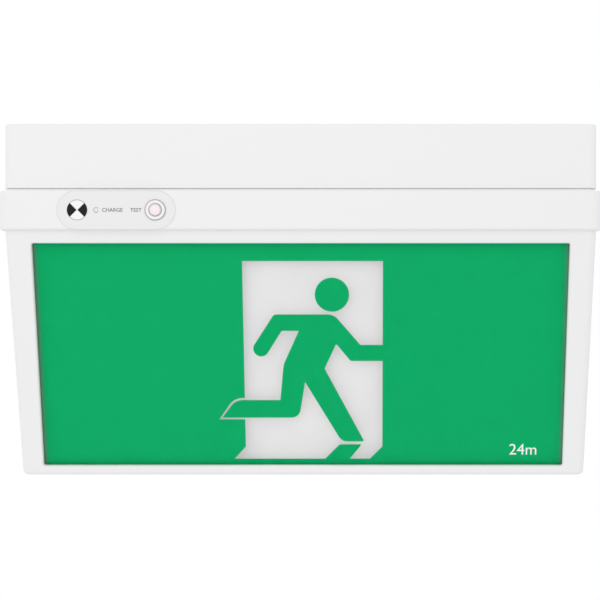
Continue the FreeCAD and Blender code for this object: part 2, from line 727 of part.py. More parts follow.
def transformer():
    """A ring core round a coil, on a bobbin with a foot and two cheeks."""
    core_long, limb, play = "Sizes.core_long", "Sizes.core_limb", "Sizes.coil_play"
    core = centred("core_block", on_board(lift="Sizes.bobbin_foot"),
                   (core_long, "Sizes.core_wide", "Sizes.core_high"))
    window = centred("core_window", on_board(lift=f"Sizes.bobbin_foot + {limb}"),
                     (f"{core_long} - 2 * {limb}", f"Sizes.core_wide + {2 * OVER}",
                      f"Sizes.core_high - 2 * {limb}"))
    coil = centred("coil_block", on_board(lift=f"Sizes.bobbin_foot + {limb} + {play}"),
                   (f"{core_long} - 2 * ({limb} + {play})", "Sizes.coil_wide",
                    f"Sizes.core_high - 2 * ({limb} + {play})"))
    foot = centred("bobbin_base", on_board(), ("Sizes.bobbin_long", "Sizes.coil_wide", "Sizes.bobbin_foot"))
    out = "(Sizes.coil_wide - Sizes.bobbin_cheek) / 2"
    cheek_high = f"Sizes.bobbin_foot + Sizes.core_high - {limb}"
    cheeks = [centred("bobbin_side", on_board(across=side + out),
                      ("Sizes.bobbin_long", "Sizes.bobbin_cheek", cheek_high)) for side in ("-", "")]
    keep("transformer", join("transformer_body", [cut("core", core, [window]), coil, foot] + cheeks))


def board_components():
    """The capacitors, the relay and the mains fuse in its clips."""
    tall = ("Sizes.bulk_cap_radius", "Sizes.bulk_cap_high")
    short = ("Sizes.small_cap_radius", "Sizes.small_cap_high")
    keep("capacitors", group("capacitor_set", [
        rod("bulk_capacitor", *tall, on_board("Sizes.bulk_cap_x", "Sizes.cap_stagger")),
        rod("small_capacitor", *short, on_board("Sizes.small_cap_x", "-Sizes.cap_stagger")),
        rod("output_capacitor", *short, on_board("Sizes.output_cap_x", "Sizes.cap_stagger"))]))
    keep("relay", centred("relay_case", on_board("Sizes.relay_x"),
                          ("Sizes.relay_long", "Sizes.relay_wide", "Sizes.relay_high")))

    side, lift = "-Sizes.fuse_side", "Sizes.fuse_lift"
    start = "Sizes.fuse_x - Sizes.fuse_long / 2"
    cap_starts = (start, f"{start} + Sizes.fuse_long - Sizes.fuse_cap_long")
    fuse = [rod("fuse_tube", "Sizes.fuse_radius", "Sizes.fuse_long", on_board(start, side, lift), "x")]
    for cap_start in cap_starts:
        fuse.append(rod("fuse_cap", "Sizes.fuse_cap_radius", "Sizes.fuse_cap_long",
                        on_board(cap_start, side, lift), "x"))
        fuse.append(centred("fuse_clip", on_board(f"{cap_start} + Sizes.fuse_cap_long / 2", side),
                            ("Sizes.fuse_leg", "2 * Sizes.fuse_cap_radius", lift)))
    keep("mains_fuse", join("fuse_body", fuse))


def plug_sockets():
    """The row of open sockets that the indicator's, the lamps' and the battery's leads plug into."""
    wall, floor = "Sizes.header_wall", "Sizes.header_floor"
    headers = []
    for index in range(int(value("header_count"))):
        along = f"Sizes.header_x + {index} * Sizes.header_pitch"
        block = centred("header_block", on_board(along),
                        ("Sizes.header_long", "Sizes.header_wide", "Sizes.header_high"))
        well = centred("header_well", on_board(along, lift=floor),
                       (f"Sizes.header_long - 2 * {wall}", f"Sizes.header_wide - 2 * {wall}",
                        f"Sizes.header_high - {floor} + {OVER}"))
        headers.append(cut("header", block, [well]))
    keep("board_headers", group("header_set", headers))


# ---------------------------------------------------------------- mains terminals

def terminals():
    """A screw terminal block near the cable entry, one way for each core of the cable."""
    ways = int(value("terminal_ways"))
    left = "Levels.terminal_x - Sizes.terminal_ways * Sizes.terminal_pitch / 2"
    top = "Levels.tray_top + Sizes.terminal_high"
    long, deep = "Sizes.terminal_ways * Sizes.terminal_pitch", "Sizes.terminal_deep"
    bar = centred("terminal_bar", ("Levels.terminal_x", "Levels.terminal_y", "Levels.tray_top"),
                  (long, deep, "Sizes.terminal_high"))
    floor = f"{top} - Sizes.terminal_well_deep"
    tools = []
    screws = []
    for way in range(ways):
        middle = f"{left} + {way + 0.5} * Sizes.terminal_pitch"
        tools.append(centred("wire_way",
                             (middle, "Levels.terminal_y", "Levels.tray_top + Sizes.wire_way_lift"),
                             ("Sizes.wire_way", f"{deep} + {2 * OVER}", "Sizes.wire_way")))
        for sign in "-+":
            at = (middle, f"Levels.terminal_y {sign} {deep} / 4", floor)
            tools.append(rod("terminal_well", "Sizes.terminal_well",
                             f"Sizes.terminal_well_deep + {OVER}", at))
            screws.append(rod("terminal_screw", "Sizes.terminal_well - Sizes.screw_play",
                              "Sizes.terminal_screw_high", at))
    for way in range(1, ways):
        tools.append(centred("way_groove", (f"{left} + {way} * Sizes.terminal_pitch", "Levels.terminal_y",
                                            f"{top} - Sizes.way_groove_deep"),
                             ("Sizes.way_groove", f"{deep} + {2 * OVER}", f"Sizes.way_groove_deep + {OVER}")))
    keep("terminal_block", cut("terminal_cut", bar, tools))
    keep("terminal_screws", group("terminal_screw_set", screws))


# ---------------------------------------------------------------- cover moulding

def cover_frame():
    """Collar, skirt and V-shaped tub in one moulding, with the window in its front face."""
    wide = "Levels.half_w + Sizes.collar_proud"
    deep = "Levels.half_d + Sizes.collar_proud"
    corner = "Sizes.housing_corner + Sizes.collar_proud"
    wall = "Sizes.cover_wall"
    collar = padded("collar_block", wide, deep, corner, "Levels.collar_foot", "Levels.collar_top")
    round_edges(collar, "Sizes.collar_round", value("collar_top"))
    round_edges(collar, "Sizes.collar_round", value("collar_foot"))
    hollow = padded("collar_hollow", f"{wide} - {wall}", f"{deep} - {wall}", f"{corner} - {wall}",
                    f"Levels.collar_foot + {wall}", f"Levels.collar_top - {wall}")
    tub = wedged("tub_block", ("Levels.half_w", "Levels.half_d", "Levels.collar_foot"),
                 ("Levels.half_w - Sizes.end_taper", "Levels.foot_half", "Levels.foot"),
                 "Sizes.housing_corner")
    round_edges(tub, "Sizes.foot_round", value("foot"))
    inner_w = f"Levels.half_w - {wall}"
    inner_d = "Levels.half_d - Levels.slant_wall"
    rise = f"{wall} + {OVER}"
    room = wedged("tub_room",
                  (inner_w, f"{inner_d} + ({rise}) * Levels.slope", f"Levels.collar_foot + {rise}"),
                  (f"{inner_w} - Sizes.end_taper",
                   f"{inner_d} - (Levels.tub_drop - {wall}) * Levels.slope", f"Levels.foot + {wall}"),
                  f"Sizes.housing_corner - {wall}")
    skirt_w = "Levels.inner_w - Sizes.skirt_play"
    skirt_d = "Levels.inner_d - Sizes.skirt_play"
    skirt_corner = "Sizes.housing_corner - Sizes.housing_wall"
    skirt = padded("skirt_block", skirt_w, skirt_d, skirt_corner,
                   f"Levels.collar_top - {wall}", "Levels.rim + Sizes.skirt_rise")
    skirt_room = padded("skirt_room", f"{skirt_w} - Sizes.skirt_wall", f"{skirt_d} - Sizes.skirt_wall",
                        f"{skirt_corner} - Sizes.skirt_wall",
                        f"Levels.collar_top - {wall} - {OVER}", f"Levels.rim + Sizes.skirt_rise + {OVER}")
    body = join("cover_body", [cut("collar_shell", collar, [hollow]), tub, skirt])
    through = f"{wall} + {2 * OVER}"
    button_hole = rod("button_hole", "Sizes.button_radius + Sizes.button_play", through,
                      ("Levels.button_x", f"Levels.front - {OVER}", "Levels.collar_mid"), "y")
    pipe_hole = rod("pipe_hole", f"Sizes.pipe_radius + {TOUCH}", through,
                    ("Levels.lamp_x", f"Levels.front - {OVER}", "Levels.collar_mid"), "y")
    opened = cut("cover_open", body, [room, skirt_room, button_hole, pipe_hole]
                 + window_tools())
    return keep("cover_frame", join("cover_bosses_on", [opened] + strip_bosses()))


def window_tools():
    """The cutters of the window: the opening itself, and a flare whose far rim leaves the bevel."""
    bevel = "Sizes.window_bevel"
    opening = pane("window_cut", "Levels.window_half", "Levels.window_low", "-Sizes.window_drop",
                   "Sizes.window_corner", f"-{OVER}", f"Sizes.cover_wall + {2 * OVER}")
    flare = pane("window_flare", f"Levels.window_half + {bevel}", f"Levels.window_low - {bevel}",
                 f"-Sizes.window_drop + {bevel}", f"Sizes.window_corner + {bevel}",
                 f"-{OVER}", f"{bevel} + {OVER}")
    rim = edges_at(flare, "y", value("window_bevel"))
    chamfer = feature(flare, "Chamfer", "window_flare_rim", Base=(flare.Tip, rim))
    chamfer.setExpression("Size", bevel)
    flare.Tip = chamfer
    return [opening, flare]


def strip_heights():
    """Where the retaining strips are screwed down, along the slope."""
    edge = "Sizes.strip_screw_edge"
    return [f"-Sizes.window_drop - {edge}", "(Levels.window_low - Sizes.window_drop) / 2",
            f"Levels.window_low + {edge}"]


def strip_bosses():
    """The screw bosses beside the window, as tall as the stack of panes."""
    made = []
    for side in ("-", ""):
        for level in strip_heights():
            at = (f"{side}Levels.boss_at", "Sizes.cover_wall / 2", level)
            post = rod("strip_boss", "Sizes.boss_radius", "Levels.stack_back - Sizes.cover_wall / 2", at, "y")
            pilot = rod("strip_pilot", "Sizes.screw_radius + Sizes.screw_play / 2",
                        f"Sizes.screw_long + {OVER}",
                        (at[0], f"Levels.stack_back - Sizes.screw_long", level), "y")
            made.append(on_sign(group("boss_on_face", [cut("boss", post, [pilot])])))
    return made


# ---------------------------------------------------------------- legend and light chamber

def full_pane(name, near, thick):
    """A pane that fills the pocket behind the window."""
    return pane(name, "Levels.pane_w", "Levels.pane_foot", "Levels.pane_top",
                "Sizes.panel_lap", near, thick)


DOOR_HIGH = 120     # the pictogram's own units: parts of the door's height


def pictogram_placement():
    """Pictogram coordinates: X from the sign's middle, Z up from the door's foot."""
    face = Placement(Vector(0, -value("half_d"), value("collar_foot")),
                     Rotation(Vector(1, 0, 0), math.degrees(math.asin(value("lean_sine")))))
    foot = value("window_low") + value("picto_base")
    return face.multiply(Placement(Vector(value("picto_shift"), value("print_at"), foot), Rotation()))


def pictogram_prism(points, unit):
    """A prism through the print from (x, z, radius) corners given in the pictogram's own units."""
    over = value("print_thick")
    wire = outline([(x * unit, z * unit, radius * unit) for x, z, radius in points])
    return Part.Face(wire).extrude(Vector(0, 3 * over, 0)).translated(Vector(0, -over, 0))


def pictogram():
    """The standard escape figure: a pale doorway with a figure running through it.

    Corners are (x, z, radius) in parts of the door's height, with x from the door's middle and
    z up from its foot.
    """
    over = value("print_thick")
    unit = value("picto_height") / DOOR_HIGH
    door = [(-41, DOOR_HIGH, 0), (41, DOOR_HIGH, 0), (41, 7.6, 0), (33.6, 0, 0), (-47.8, 0, 0), (-41, 7.6, 0)]
    trailing_halo = [(-38, 37.8, 0), (-47.3, 37.8, 9.5), (-56.5, 24.5, 0), (-38, 24.5, 0)]
    figure = [(-23, 88.3, 3), (-37.2, 66.4, 4.6), (-29.2, 61.4, 4.6), (-18.5, 78.6, 1.5),
              (-8.4, 78.5, 0), (-17.6, 58.2, 14), (-19.8, 36.4, 0), (-46.6, 36.4, 9),
              (-54.4, 25.7, 0), (-8.6, 25.7, 5.5), (-5, 47.6, 0), (16.6, 10.9, 6),
              (30.1, 10.9, 0.6), (6.6, 55.7, 1.2), (13.6, 70.7, 0.5), (22, 60.4, 2),
              (44, 60.4, 0), (44, 70, 0), (27.8, 70, 1), (12.2, 88.3, 8)]
    front_foot = [(15.4, 9, 3), (28.6, 9, 0.5), (20.2, -1.5, 0), (5.2, -1.5, 0)]
    opening = pictogram_prism(door, unit).fuse(pictogram_prism(trailing_halo, unit)).removeSplitter()
    for shape in (figure, front_foot):
        opening = opening.cut(pictogram_prism(shape, unit))
    head_x, head_z, head_radius = 11.2 * unit, 100.1 * unit, 10.05 * unit
    head = Part.makeCylinder(head_radius, 3 * over, Vector(head_x, -over, head_z), Vector(0, 1, 0))
    return solid("pictogram_opening", opening.cut(head), pictogram_placement())


def legend():
    """The clear pane, its green print, the frame that spaces it, and the lit field behind."""
    keep("legend_lens", full_pane("lens_pane", "Sizes.cover_wall", "Sizes.lens_thick"))
    keep("legend_print", cut("print_cut", full_pane("print_pane", "Levels.print_at", "Sizes.print_thick"),
                             [pictogram()]))
    ring = pane("spacer_room", "Levels.pane_w - Sizes.spacer_bar",
                "Levels.pane_foot + Sizes.spacer_bar", "Levels.pane_top - Sizes.spacer_bar",
                "Sizes.window_corner", f"Levels.field_at - {OVER}", f"Sizes.field_depth + {2 * OVER}")
    keep("spacer_frame", cut("spacer_cut", full_pane("spacer_pane", "Levels.field_at", "Sizes.field_depth"),
                             [ring]))
    keep("diffuser_panel", full_pane("diffuser_pane", "Levels.diffuser_at", "Sizes.diffuser_thick"))


def retaining_strips():
    """Two steel strips that press the stack of panes forward, and their screws."""
    strips = []
    screws = []
    outer = "Levels.boss_at + Sizes.boss_radius"
    back = "Levels.stack_back"
    seat = f"{back} + Sizes.strip_thick"
    for side in ("-", ""):
        edges = [f"{side}({outer})", f"{side}({outer} - Sizes.strip_width)"]
        low_x, high_x = edges if side == "-" else edges[::-1]
        bar = slab("strip_bar", (low_x, high_x), (back, seat),
                   ("Levels.pane_foot + 2 * Sizes.panel_lap", "Levels.pane_top - Sizes.panel_lap"))
        holes = []
        for level in strip_heights():
            x = f"{side}Levels.boss_at"
            holes.append(rod("strip_hole", "Sizes.screw_radius + Sizes.screw_play",
                             f"Sizes.strip_thick + {2 * OVER}", (x, f"{back} - {OVER}", level), "y"))
            head = rod("strip_head", "Sizes.screw_head", "Sizes.screw_head_high", (x, seat, level), "y")
            shank = rod("strip_shank", "Sizes.screw_radius", "Sizes.screw_long",
                        (x, f"{seat} - Sizes.screw_long", level), "y")
            screws.append(join("strip_screw", [head, shank]))
        strips.append(cut("strip", bar, holes))
    keep("retaining_strips", on_sign(group("strip_pair", strips)))
    keep("retainer_screws", on_sign(group("strip_screw_set", screws)))


def reflector_sheet():
    """A white sheet on the rear wall that throws the lamps' light forward."""
    half = "Levels.half_w - Sizes.cover_wall - 2 * Sizes.end_taper"
    sheet = slab("rear_sheet", (f"-({half})", half),
                 ("-Sizes.cover_wall - Sizes.sheet_thick", "-Sizes.cover_wall"),
                 ("-Levels.tub_drop + Sizes.cover_wall", "-Sizes.cover_wall"))
    return keep("reflector_sheet", on_sign(group("sheet_on_rear", [sheet]), rear=True))


# ---------------------------------------------------------------- controls

def control_label():
    """The thin oblong label on the collar, with holes for the button and the charge light."""
    radius = "Sizes.label_high / 2"
    reach = f"Sizes.label_long / 2 - {radius}"
    bar = slab("label_bar", (f"-Levels.label_x - ({reach})", f"-Levels.label_x + {reach}"),
               ("Levels.skin", "Levels.front"),
               (f"Levels.collar_mid - {radius}", f"Levels.collar_mid + {radius}"))
    ends = [rod("label_end", radius, "Sizes.label_thick",
                (f"-Levels.label_x {sign} ({reach})", "Levels.skin", "Levels.collar_mid"), "y")
            for sign in "-+"]
    through = f"Sizes.label_thick + {2 * OVER}"
    before = f"Levels.skin - {OVER}"
    tools = [rod("label_button_hole", "Sizes.button_radius + Sizes.button_play", through,
                 ("Levels.button_x", before, "Levels.collar_mid"), "y"),
             rod("label_pipe_hole", f"Sizes.pipe_radius + {TOUCH}", through,
                 ("Levels.lamp_x", before, "Levels.collar_mid"), "y")]
    keep("control_label", cut("label_cut", join("label_blank", [bar] + ends), tools))


def marker_disc():
    """A round sticker in four quarters, two of them dark."""
    film = "Sizes.label_thick / 2"
    ink = "Sizes.label_thick / 4"
    keep("marker_disc", rod("disc_base", "Sizes.disc_radius", film,
                            ("Levels.disc_x", f"Levels.skin - {film}", "Levels.collar_mid"), "y"))
    quarters = []
    for turn, sign in ((-45, "+"), (135, "-")):
        quarter = DOC.addObject("Part::Cylinder", "disc_quarter")
        quarter.Placement = Placement(Vector(), TURN_TO["y"].multiply(Rotation(Vector(0, 0, 1), turn)))
        quarter.Angle = 90
        quarter.setExpression("Radius", "Sizes.quarter_radius")
        quarter.setExpression("Height", ink)
        quarters.append(place(quarter, f"Levels.disc_x {sign} Sizes.label_thick",
                              f"Levels.skin - {film} - {ink}", "Levels.collar_mid"))
    keep("marker_quarters", group("disc_quarters", quarters))


def test_button():
    """The sprung push button: cap, flange behind the collar wall, and a stem to the switch."""
    at_x, at_z = "Levels.button_x", "Levels.collar_mid"
    outside = "Levels.skin - Sizes.button_proud"
    behind = f"Levels.inside + {TOUCH}"
    flange = "Sizes.button_radius + Sizes.button_flange"
    tip = ("Levels.control_face - Sizes.switch_deep - Sizes.plunger_long - Sizes.switch_gap"
           " - Sizes.button_travel")
    cap = rod("button_cap", "Sizes.button_radius", f"{behind} - ({outside})", (at_x, outside, at_z), "y")
    collar = rod("button_collar", flange, "Sizes.flange_thick", (at_x, behind, at_z), "y")
    stem = rod("button_stem", "Sizes.stem_radius", f"{tip} - ({behind})", (at_x, behind, at_z), "y")
    keep("test_button", join("button_body", [cap, collar, stem]))

    front = "Levels.skin - Sizes.bezel_proud"
    ring = rod("bezel_disc", "Sizes.bezel_radius", "Sizes.bezel_proud", (at_x, front, at_z), "y")
    hole = rod("bezel_hole", "Sizes.button_radius + Sizes.button_play", f"Sizes.bezel_proud + {2 * OVER}",
               (at_x, f"{front} - {OVER}", at_z), "y")
    keep("button_bezel", cut("bezel_cut", ring, [hole]))

    tube = rod("guide_tube", "Sizes.guide_radius", "Sizes.guide_deep", (at_x, "Levels.inside", at_z), "y")
    room = rod("guide_room", f"{flange} + Sizes.button_play",
               f"Sizes.guide_deep - Sizes.flange_thick + {OVER}",
               (at_x, f"Levels.inside - {OVER}", at_z), "y")
    way = rod("guide_way", "Sizes.stem_radius + Sizes.button_play", f"Sizes.guide_deep + {OVER}",
              (at_x, "Levels.inside", at_z), "y")
    keep("button_guide", cut("guide_cut", tube, [room, way]))


def button_spring():
    """A small coil between the guide's end wall and the button's flange.

    The wire follows a helix about the stem in short straight steps, with a six-sided section.
    """
    steps_a_turn = 12
    wire = value("spring_wire")
    end = value("inside") + value("guide_deep") - value("flange_thick") - TOUCH - wire
    start = value("inside") + value("flange_thick") + value("button_travel") + TOUCH + wire
    mean = value("stem_radius") + value("button_play") + 2 * wire
    count = int(steps_a_turn * value("spring_turns"))
    spine = []
    for index in range(count + 1):
        angle = 2 * math.pi * index / steps_a_turn
        spine.append(Vector(mean * math.cos(angle), (end - start) * index / count, mean * math.sin(angle)))
    at = Vector(value("button_x"), start, value("collar_mid"))
    keep("button_spring", solid("spring_coil", swept(spine, wire), Placement(at, Rotation())))


def charge_light():
    """The light pipe through the collar, and the lamp on the board that feeds it."""
    at_x, at_z = "Levels.lamp_x", "Levels.collar_mid"
    tip = "Levels.control_face - Sizes.lamp_dome_long"
    start = "Levels.skin - Sizes.label_thick"
    keep("light_pipe", join("pipe_body", [
        rod("pipe_rod", "Sizes.pipe_radius", f"{tip} - Sizes.switch_gap - ({start})",
            (at_x, start, at_z), "y"),
        rod("pipe_collar", "Sizes.pipe_flange", "Sizes.flange_thick", (at_x, "Levels.inside", at_z), "y")]))
    dome = DOC.addObject("Part::Sphere", "lamp_dome")
    dome.setExpression("Radius", "Sizes.pipe_radius")
    place(dome, at_x, f"{tip} + Sizes.pipe_radius", at_z)
    keep("charge_lamp", join("charge_lamp_body", [
        dome,
        rod("lamp_stem", "Sizes.pipe_radius", "Sizes.lamp_dome_long - Sizes.pipe_radius",
            (at_x, f"{tip} + Sizes.pipe_radius", at_z), "y"),
        rod("lamp_skirt", "Sizes.lamp_skirt", "Sizes.flange_thick",
            (at_x, "Levels.control_face - Sizes.flange_thick", at_z), "y")]))


def indicator():
    """The small upright board behind the collar, its bracket and the test switch."""
    across = ("Levels.lamp_x - Sizes.indicator_edge", "Levels.button_x + Sizes.indicator_edge")
    low_z, high_z = "Levels.collar_mid - Sizes.indicator_edge", "Levels.collar_mid + Sizes.indicator_edge"
    keep("indicator_board", slab("indicator_plate", across, ("Levels.control_face", "Levels.control_back"),
                                 (low_z, high_z)))
    plate = "Levels.control_back + Sizes.indicator_gap"
    upright = slab("bracket_upright", across, (plate, f"{plate} + Sizes.strip_thick"),
                   (low_z, "Levels.tray_under"))
    ledge = slab("bracket_ledge", across,
                 ("Levels.control_face - Sizes.indicator_gap", f"{plate} + Sizes.strip_thick"),
                 ("Levels.tray_under - Sizes.strip_thick", "Levels.tray_under"))
    middle_x = "(Levels.lamp_x + Levels.button_x) / 2"
    studs = [rod("bracket_stud", "Sizes.stem_radius", "Sizes.indicator_gap + Sizes.strip_thick / 2",
                 (f"{middle_x} {sign} Sizes.indicator_edge", "Levels.control_back", "Levels.collar_mid"), "y")
             for sign in "-+"]
    keep("indicator_bracket", join("bracket_body", [upright, ledge] + studs))
    half = "Sizes.switch_half"
    face = "Levels.control_face - Sizes.switch_deep"
    body = slab("switch_case", (f"Levels.button_x - {half}", f"Levels.button_x + {half}"),
                (face, "Levels.control_face"), (f"Levels.collar_mid - {half}", f"Levels.collar_mid + {half}"))
    plunger = rod("switch_plunger", "Sizes.plunger_radius", "Sizes.plunger_long",
                  ("Levels.button_x", f"{face} - Sizes.plunger_long", "Levels.collar_mid"), "y")
    keep("test_switch", join("switch_whole", [body, plunger]))


# ---------------------------------------------------------------- grip springs

def grip_springs():
    """Four bent steel strips under the tray that grip the inside of the cover's skirt."""
    under = value("tray_under")
    thick = value("grip_thick")
    bend = value("grip_bend")
    touch = value("inner_w") - value("skirt_play") - value("skirt_wall") - 2 * TOUCH
    root = touch - value("grip_tab")
    shoulder = touch - value("grip_shoulder")
    hook = touch - value("grip_hook")
    knee = value("rim") + value("skirt_rise") - value("grip_knee")
    end = knee - value("grip_drop")
    profile = [(root, under, 0), (shoulder, under, bend), (touch, knee, bend), (hook, end, 0),
               (hook - thick, end + thick / 2, 0), (touch - thick, knee, bend - thick),
               (shoulder - thick, under - thick, bend - thick), (root, under - thick, 0)]
    strips = []
    for side in (-1, 1):
        section = Part.Face(outline([(side * x, z, radius) for x, z, radius in profile]))
        for middle in (-value("grip_y"), value("grip_y")):
            start = Vector(0, middle - value("grip_wide") / 2, 0)
            strips.append(section.extrude(Vector(0, value("grip_wide"), 0)).translated(start))
    keep("grip_springs", solid("grip_spring_set", Part.Compound(strips)))


# ---------------------------------------------------------------- internal leads

def lead_holes():
    """Where the tray is holed for the lamps' lead and for the indicator board's lead."""
    return [("Levels.driver_low - Sizes.lead_hole - Sizes.lead_gap",
             "Levels.driver_rear + Sizes.lead_edge_gap + Levels.lead_lane"),
            ("Levels.button_x + Sizes.indicator_edge + Sizes.lead_hole + Sizes.lead_gap",
             "Levels.control_back + Sizes.lead_radius")]


def wire_along(points):
    """One wire that follows straight runs joined by equal bends, each in a few short steps."""
    bend_steps = 3
    ends = (0, len(points) - 1)
    corners = [(point, 0 if index in ends else value("lead_bend")) for index, point in enumerate(points)]
    spine = points[:1]
    for edge in rounded_wire(corners, False).Edges:
        steps = 1 if isinstance(edge.Curve, Part.Line) else bend_steps
        spine += edge.discretize(steps + 1)[1:]
    return swept(spine, value("lead_radius"))


def lane_y(lane):
    """One of the three lanes that the leads keep to between the board and the terminals."""
    return value("driver_rear") + value("lead_edge_gap") + lane * value("lead_lane")


def keep_lead(label, paths):
    keep(label, solid(label + "_wires", Part.Compound([wire_along(path) for path in paths])))


def from_socket(index, apart):
    """A plugged wire's first run: up from its socket, over the board's edge and down to the tray."""
    x = value("driver_x") + value("header_x") + index * value("header_pitch") + apart
    socket_y, drop_y = -value("driver_y"), lane_y(index) + apart
    low = value("board_top") + value("header_floor") + value("lead_radius")
    high = value("board_top") + value("header_high") + value("lead_arch")
    floor = value("tray_top") + value("lead_radius")
    return [Vector(x, socket_y, low), Vector(x, socket_y, high), Vector(x, drop_y, high),
            Vector(x, drop_y, floor)]


def socket_leads():
    """The two-core leads to the indicator board, to the battery and to the lamps."""
    floor = value("tray_top") + value("lead_radius")
    battery_end = -value("battery_entry_room")
    turn = battery_end / 2
    battery_y, battery_z = value("battery_y"), value("battery_z")
    under, mid = value("tray_under"), value("collar_mid")
    board_y = value("control_back") + value("lead_radius")
    board_edge = value("button_x") + value("indicator_edge")
    drop = board_edge + value("lead_hole") + value("lead_gap")
    lamp_hole = value("driver_low") - value("lead_hole") - value("lead_gap")
    indicator, battery_pair, lamp_pair = [], [], []
    for apart in (-value("lead_pitch") / 2, value("lead_pitch") / 2):
        indicator.append(from_socket(0, apart) + [
            Vector(drop - apart, lane_y(0) + apart, floor), Vector(drop - apart, board_y, floor),
            Vector(drop - apart, board_y, mid + apart),
            Vector(board_edge - value("lead_stub"), board_y, mid + apart)])
        battery_pair.append(from_socket(2, apart) + [
            Vector(turn + apart, lane_y(2) + apart, floor), Vector(turn + apart, battery_y + apart, floor),
            Vector(turn + apart, battery_y + apart, battery_z),
            Vector(battery_end, battery_y + apart, battery_z)])
        lamp_pair.append(from_socket(1, apart) + [
            Vector(lamp_hole, lane_y(1) + apart, floor), Vector(lamp_hole, lane_y(1) + apart, under)])
    keep_lead("indicator_lead", indicator)
    keep_lead("battery_lead", battery_pair)
    keep_lead("lamp_lead", lamp_pair)


def mains_lead():
    """The wires from the terminal block over the rear edge of the driver board."""
    front = value("terminal_y") - value("terminal_deep") / 2
    edge = value("driver_rear")
    middle, stub = (front + edge) / 2, value("lead_stub")
    low, top = value("wire_way_z"), value("board_top")
    high = top + value("lead_arch")
    left = value("terminal_x") - value("terminal_ways") * value("terminal_pitch") / 2
    wires = []
    for way in range(int(value("terminal_ways"))):
        x = left + (way + 0.5) * value("terminal_pitch")
        wires.append([Vector(x, front + stub, low), Vector(x, middle, low), Vector(x, middle, high),
                      Vector(x, edge - stub, high), Vector(x, edge - stub, top)])
    keep_lead("mains_lead", wires)


# ---------------------------------------------------------------- build, check and write

def build():
    for make in (gear_housing, cable_grommet, gear_tray, tray_screws, lamp_strip, battery, driver,
                 transformer, board_components, plug_sockets, terminals, socket_leads, mains_lead,
                 cover_frame, legend, retaining_strips, reflector_sheet, control_label, marker_disc,
                 test_button, button_spring, charge_light, indicator, grip_springs):
        make()
    DOC.recompute()


def check():
    """Stop if anything in the document failed, or a sub-part has no sound shape."""
    for obj in DOC.Objects:
        if {"Invalid", "Error"} & set(obj.State):
            raise RuntimeError(f"{obj.Name} ({obj.Label}) did not build: {obj.State}")
    for label, obj in SUBPARTS.items():
        if obj.Shape.isNull() or not obj.Shape.isValid() or not obj.Shape.Solids:
            raise RuntimeError(f"{label} has no sound shape")


def write():
    os.makedirs("parts", exist_ok=True)
    for label, obj in SUBPARTS.items():
        obj.Shape.exportStep(f"parts/{label}.step")
        box = obj.Shape.BoundBox
        print(f"{label:18s} solids {len(obj.Shape.Solids):2d}  volume {obj.Shape.Volume:10.1f}"
              f"  x {box.XMin:7.1f} {box.XMax:7.1f}  y {box.YMin:6.1f} {box.YMax:6.1f}"
              f"  z {box.ZMin:7.1f} {box.ZMax:7.1f}")


build()
check()
write()
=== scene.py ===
# %% [markdown]
# # A ceiling-fixed emergency exit light
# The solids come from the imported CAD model, which is the fixed frame: their sizes and places are
# true and stay untouched. This lesson gives every one of them a finish. It adds the print, the
# recesses of the screws, the turned controls and the seal in the joint, which are too fine for the
# solids, and lights the sign softly.

import math

import bpy
import numpy as np
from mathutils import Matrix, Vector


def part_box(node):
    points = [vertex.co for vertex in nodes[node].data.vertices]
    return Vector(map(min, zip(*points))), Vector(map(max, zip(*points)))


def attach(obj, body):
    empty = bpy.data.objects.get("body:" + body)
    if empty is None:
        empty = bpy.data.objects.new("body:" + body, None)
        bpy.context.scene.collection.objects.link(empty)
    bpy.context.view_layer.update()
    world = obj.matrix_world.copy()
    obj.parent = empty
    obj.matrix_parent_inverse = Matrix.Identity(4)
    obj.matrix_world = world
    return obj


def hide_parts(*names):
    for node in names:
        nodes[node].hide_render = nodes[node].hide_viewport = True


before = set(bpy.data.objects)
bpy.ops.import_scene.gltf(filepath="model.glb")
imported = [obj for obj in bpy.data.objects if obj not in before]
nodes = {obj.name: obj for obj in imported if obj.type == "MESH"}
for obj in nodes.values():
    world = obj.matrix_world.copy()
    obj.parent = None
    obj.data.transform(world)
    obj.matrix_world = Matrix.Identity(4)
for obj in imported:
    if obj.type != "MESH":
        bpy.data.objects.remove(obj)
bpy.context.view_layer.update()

# %% [markdown]
# ## Small tools
# Blender works in metres, while the sign's details are easier to say in millimetres, so one
# constant turns one into the other. Colours are written the way a paint chart gives them, as sRGB
# hex, and Cycles wants linear light, so one function does that too.

# %% Millimetres and colours
MM = 0.001


def linear(chart):
    """An sRGB hex colour as linear RGBA: each channel undoes the sRGB curve."""
    channels = np.array([int(chart[i:i + 2], 16) for i in (0, 2, 4)]) / 255
    curve = np.where(channels <= 0.04045, channels / 12.92, ((channels + 0.055) / 1.055) ** 2.4)
    return (*curve.tolist(), 1.0)


print("signal green in linear light:", [round(c, 3) for c in linear("0BAA68")])

# %% [markdown]
# A shader is a small graph. One function adds a node to it, sets what is named and joins its
# inputs, so each material below reads as a list of what is done to the surface. An input that has
# no name of its own is given by its number. The Mix node, for one, has a set of sockets for each
# kind of data: its colours are inputs 6 and 7, its share is input 0 and the result is output 2.


# %% One function that adds a node
def add(tree, kind, settings=(), **links):
    """Add a node. A setting names an input or a property; a link joins an input to an output."""
    node = tree.nodes.new("ShaderNode" + kind)
    for name, content in dict(settings).items():
        if isinstance(name, str) and hasattr(node, name):
            setattr(node, name, content)
        else:
            node.inputs[name].default_value = content
    for name, source in links.items():
        key = int(name[1:]) if name[1:].isdigit() else name.replace("_", " ")
        tree.links.new(source, node.inputs[key])
    return node


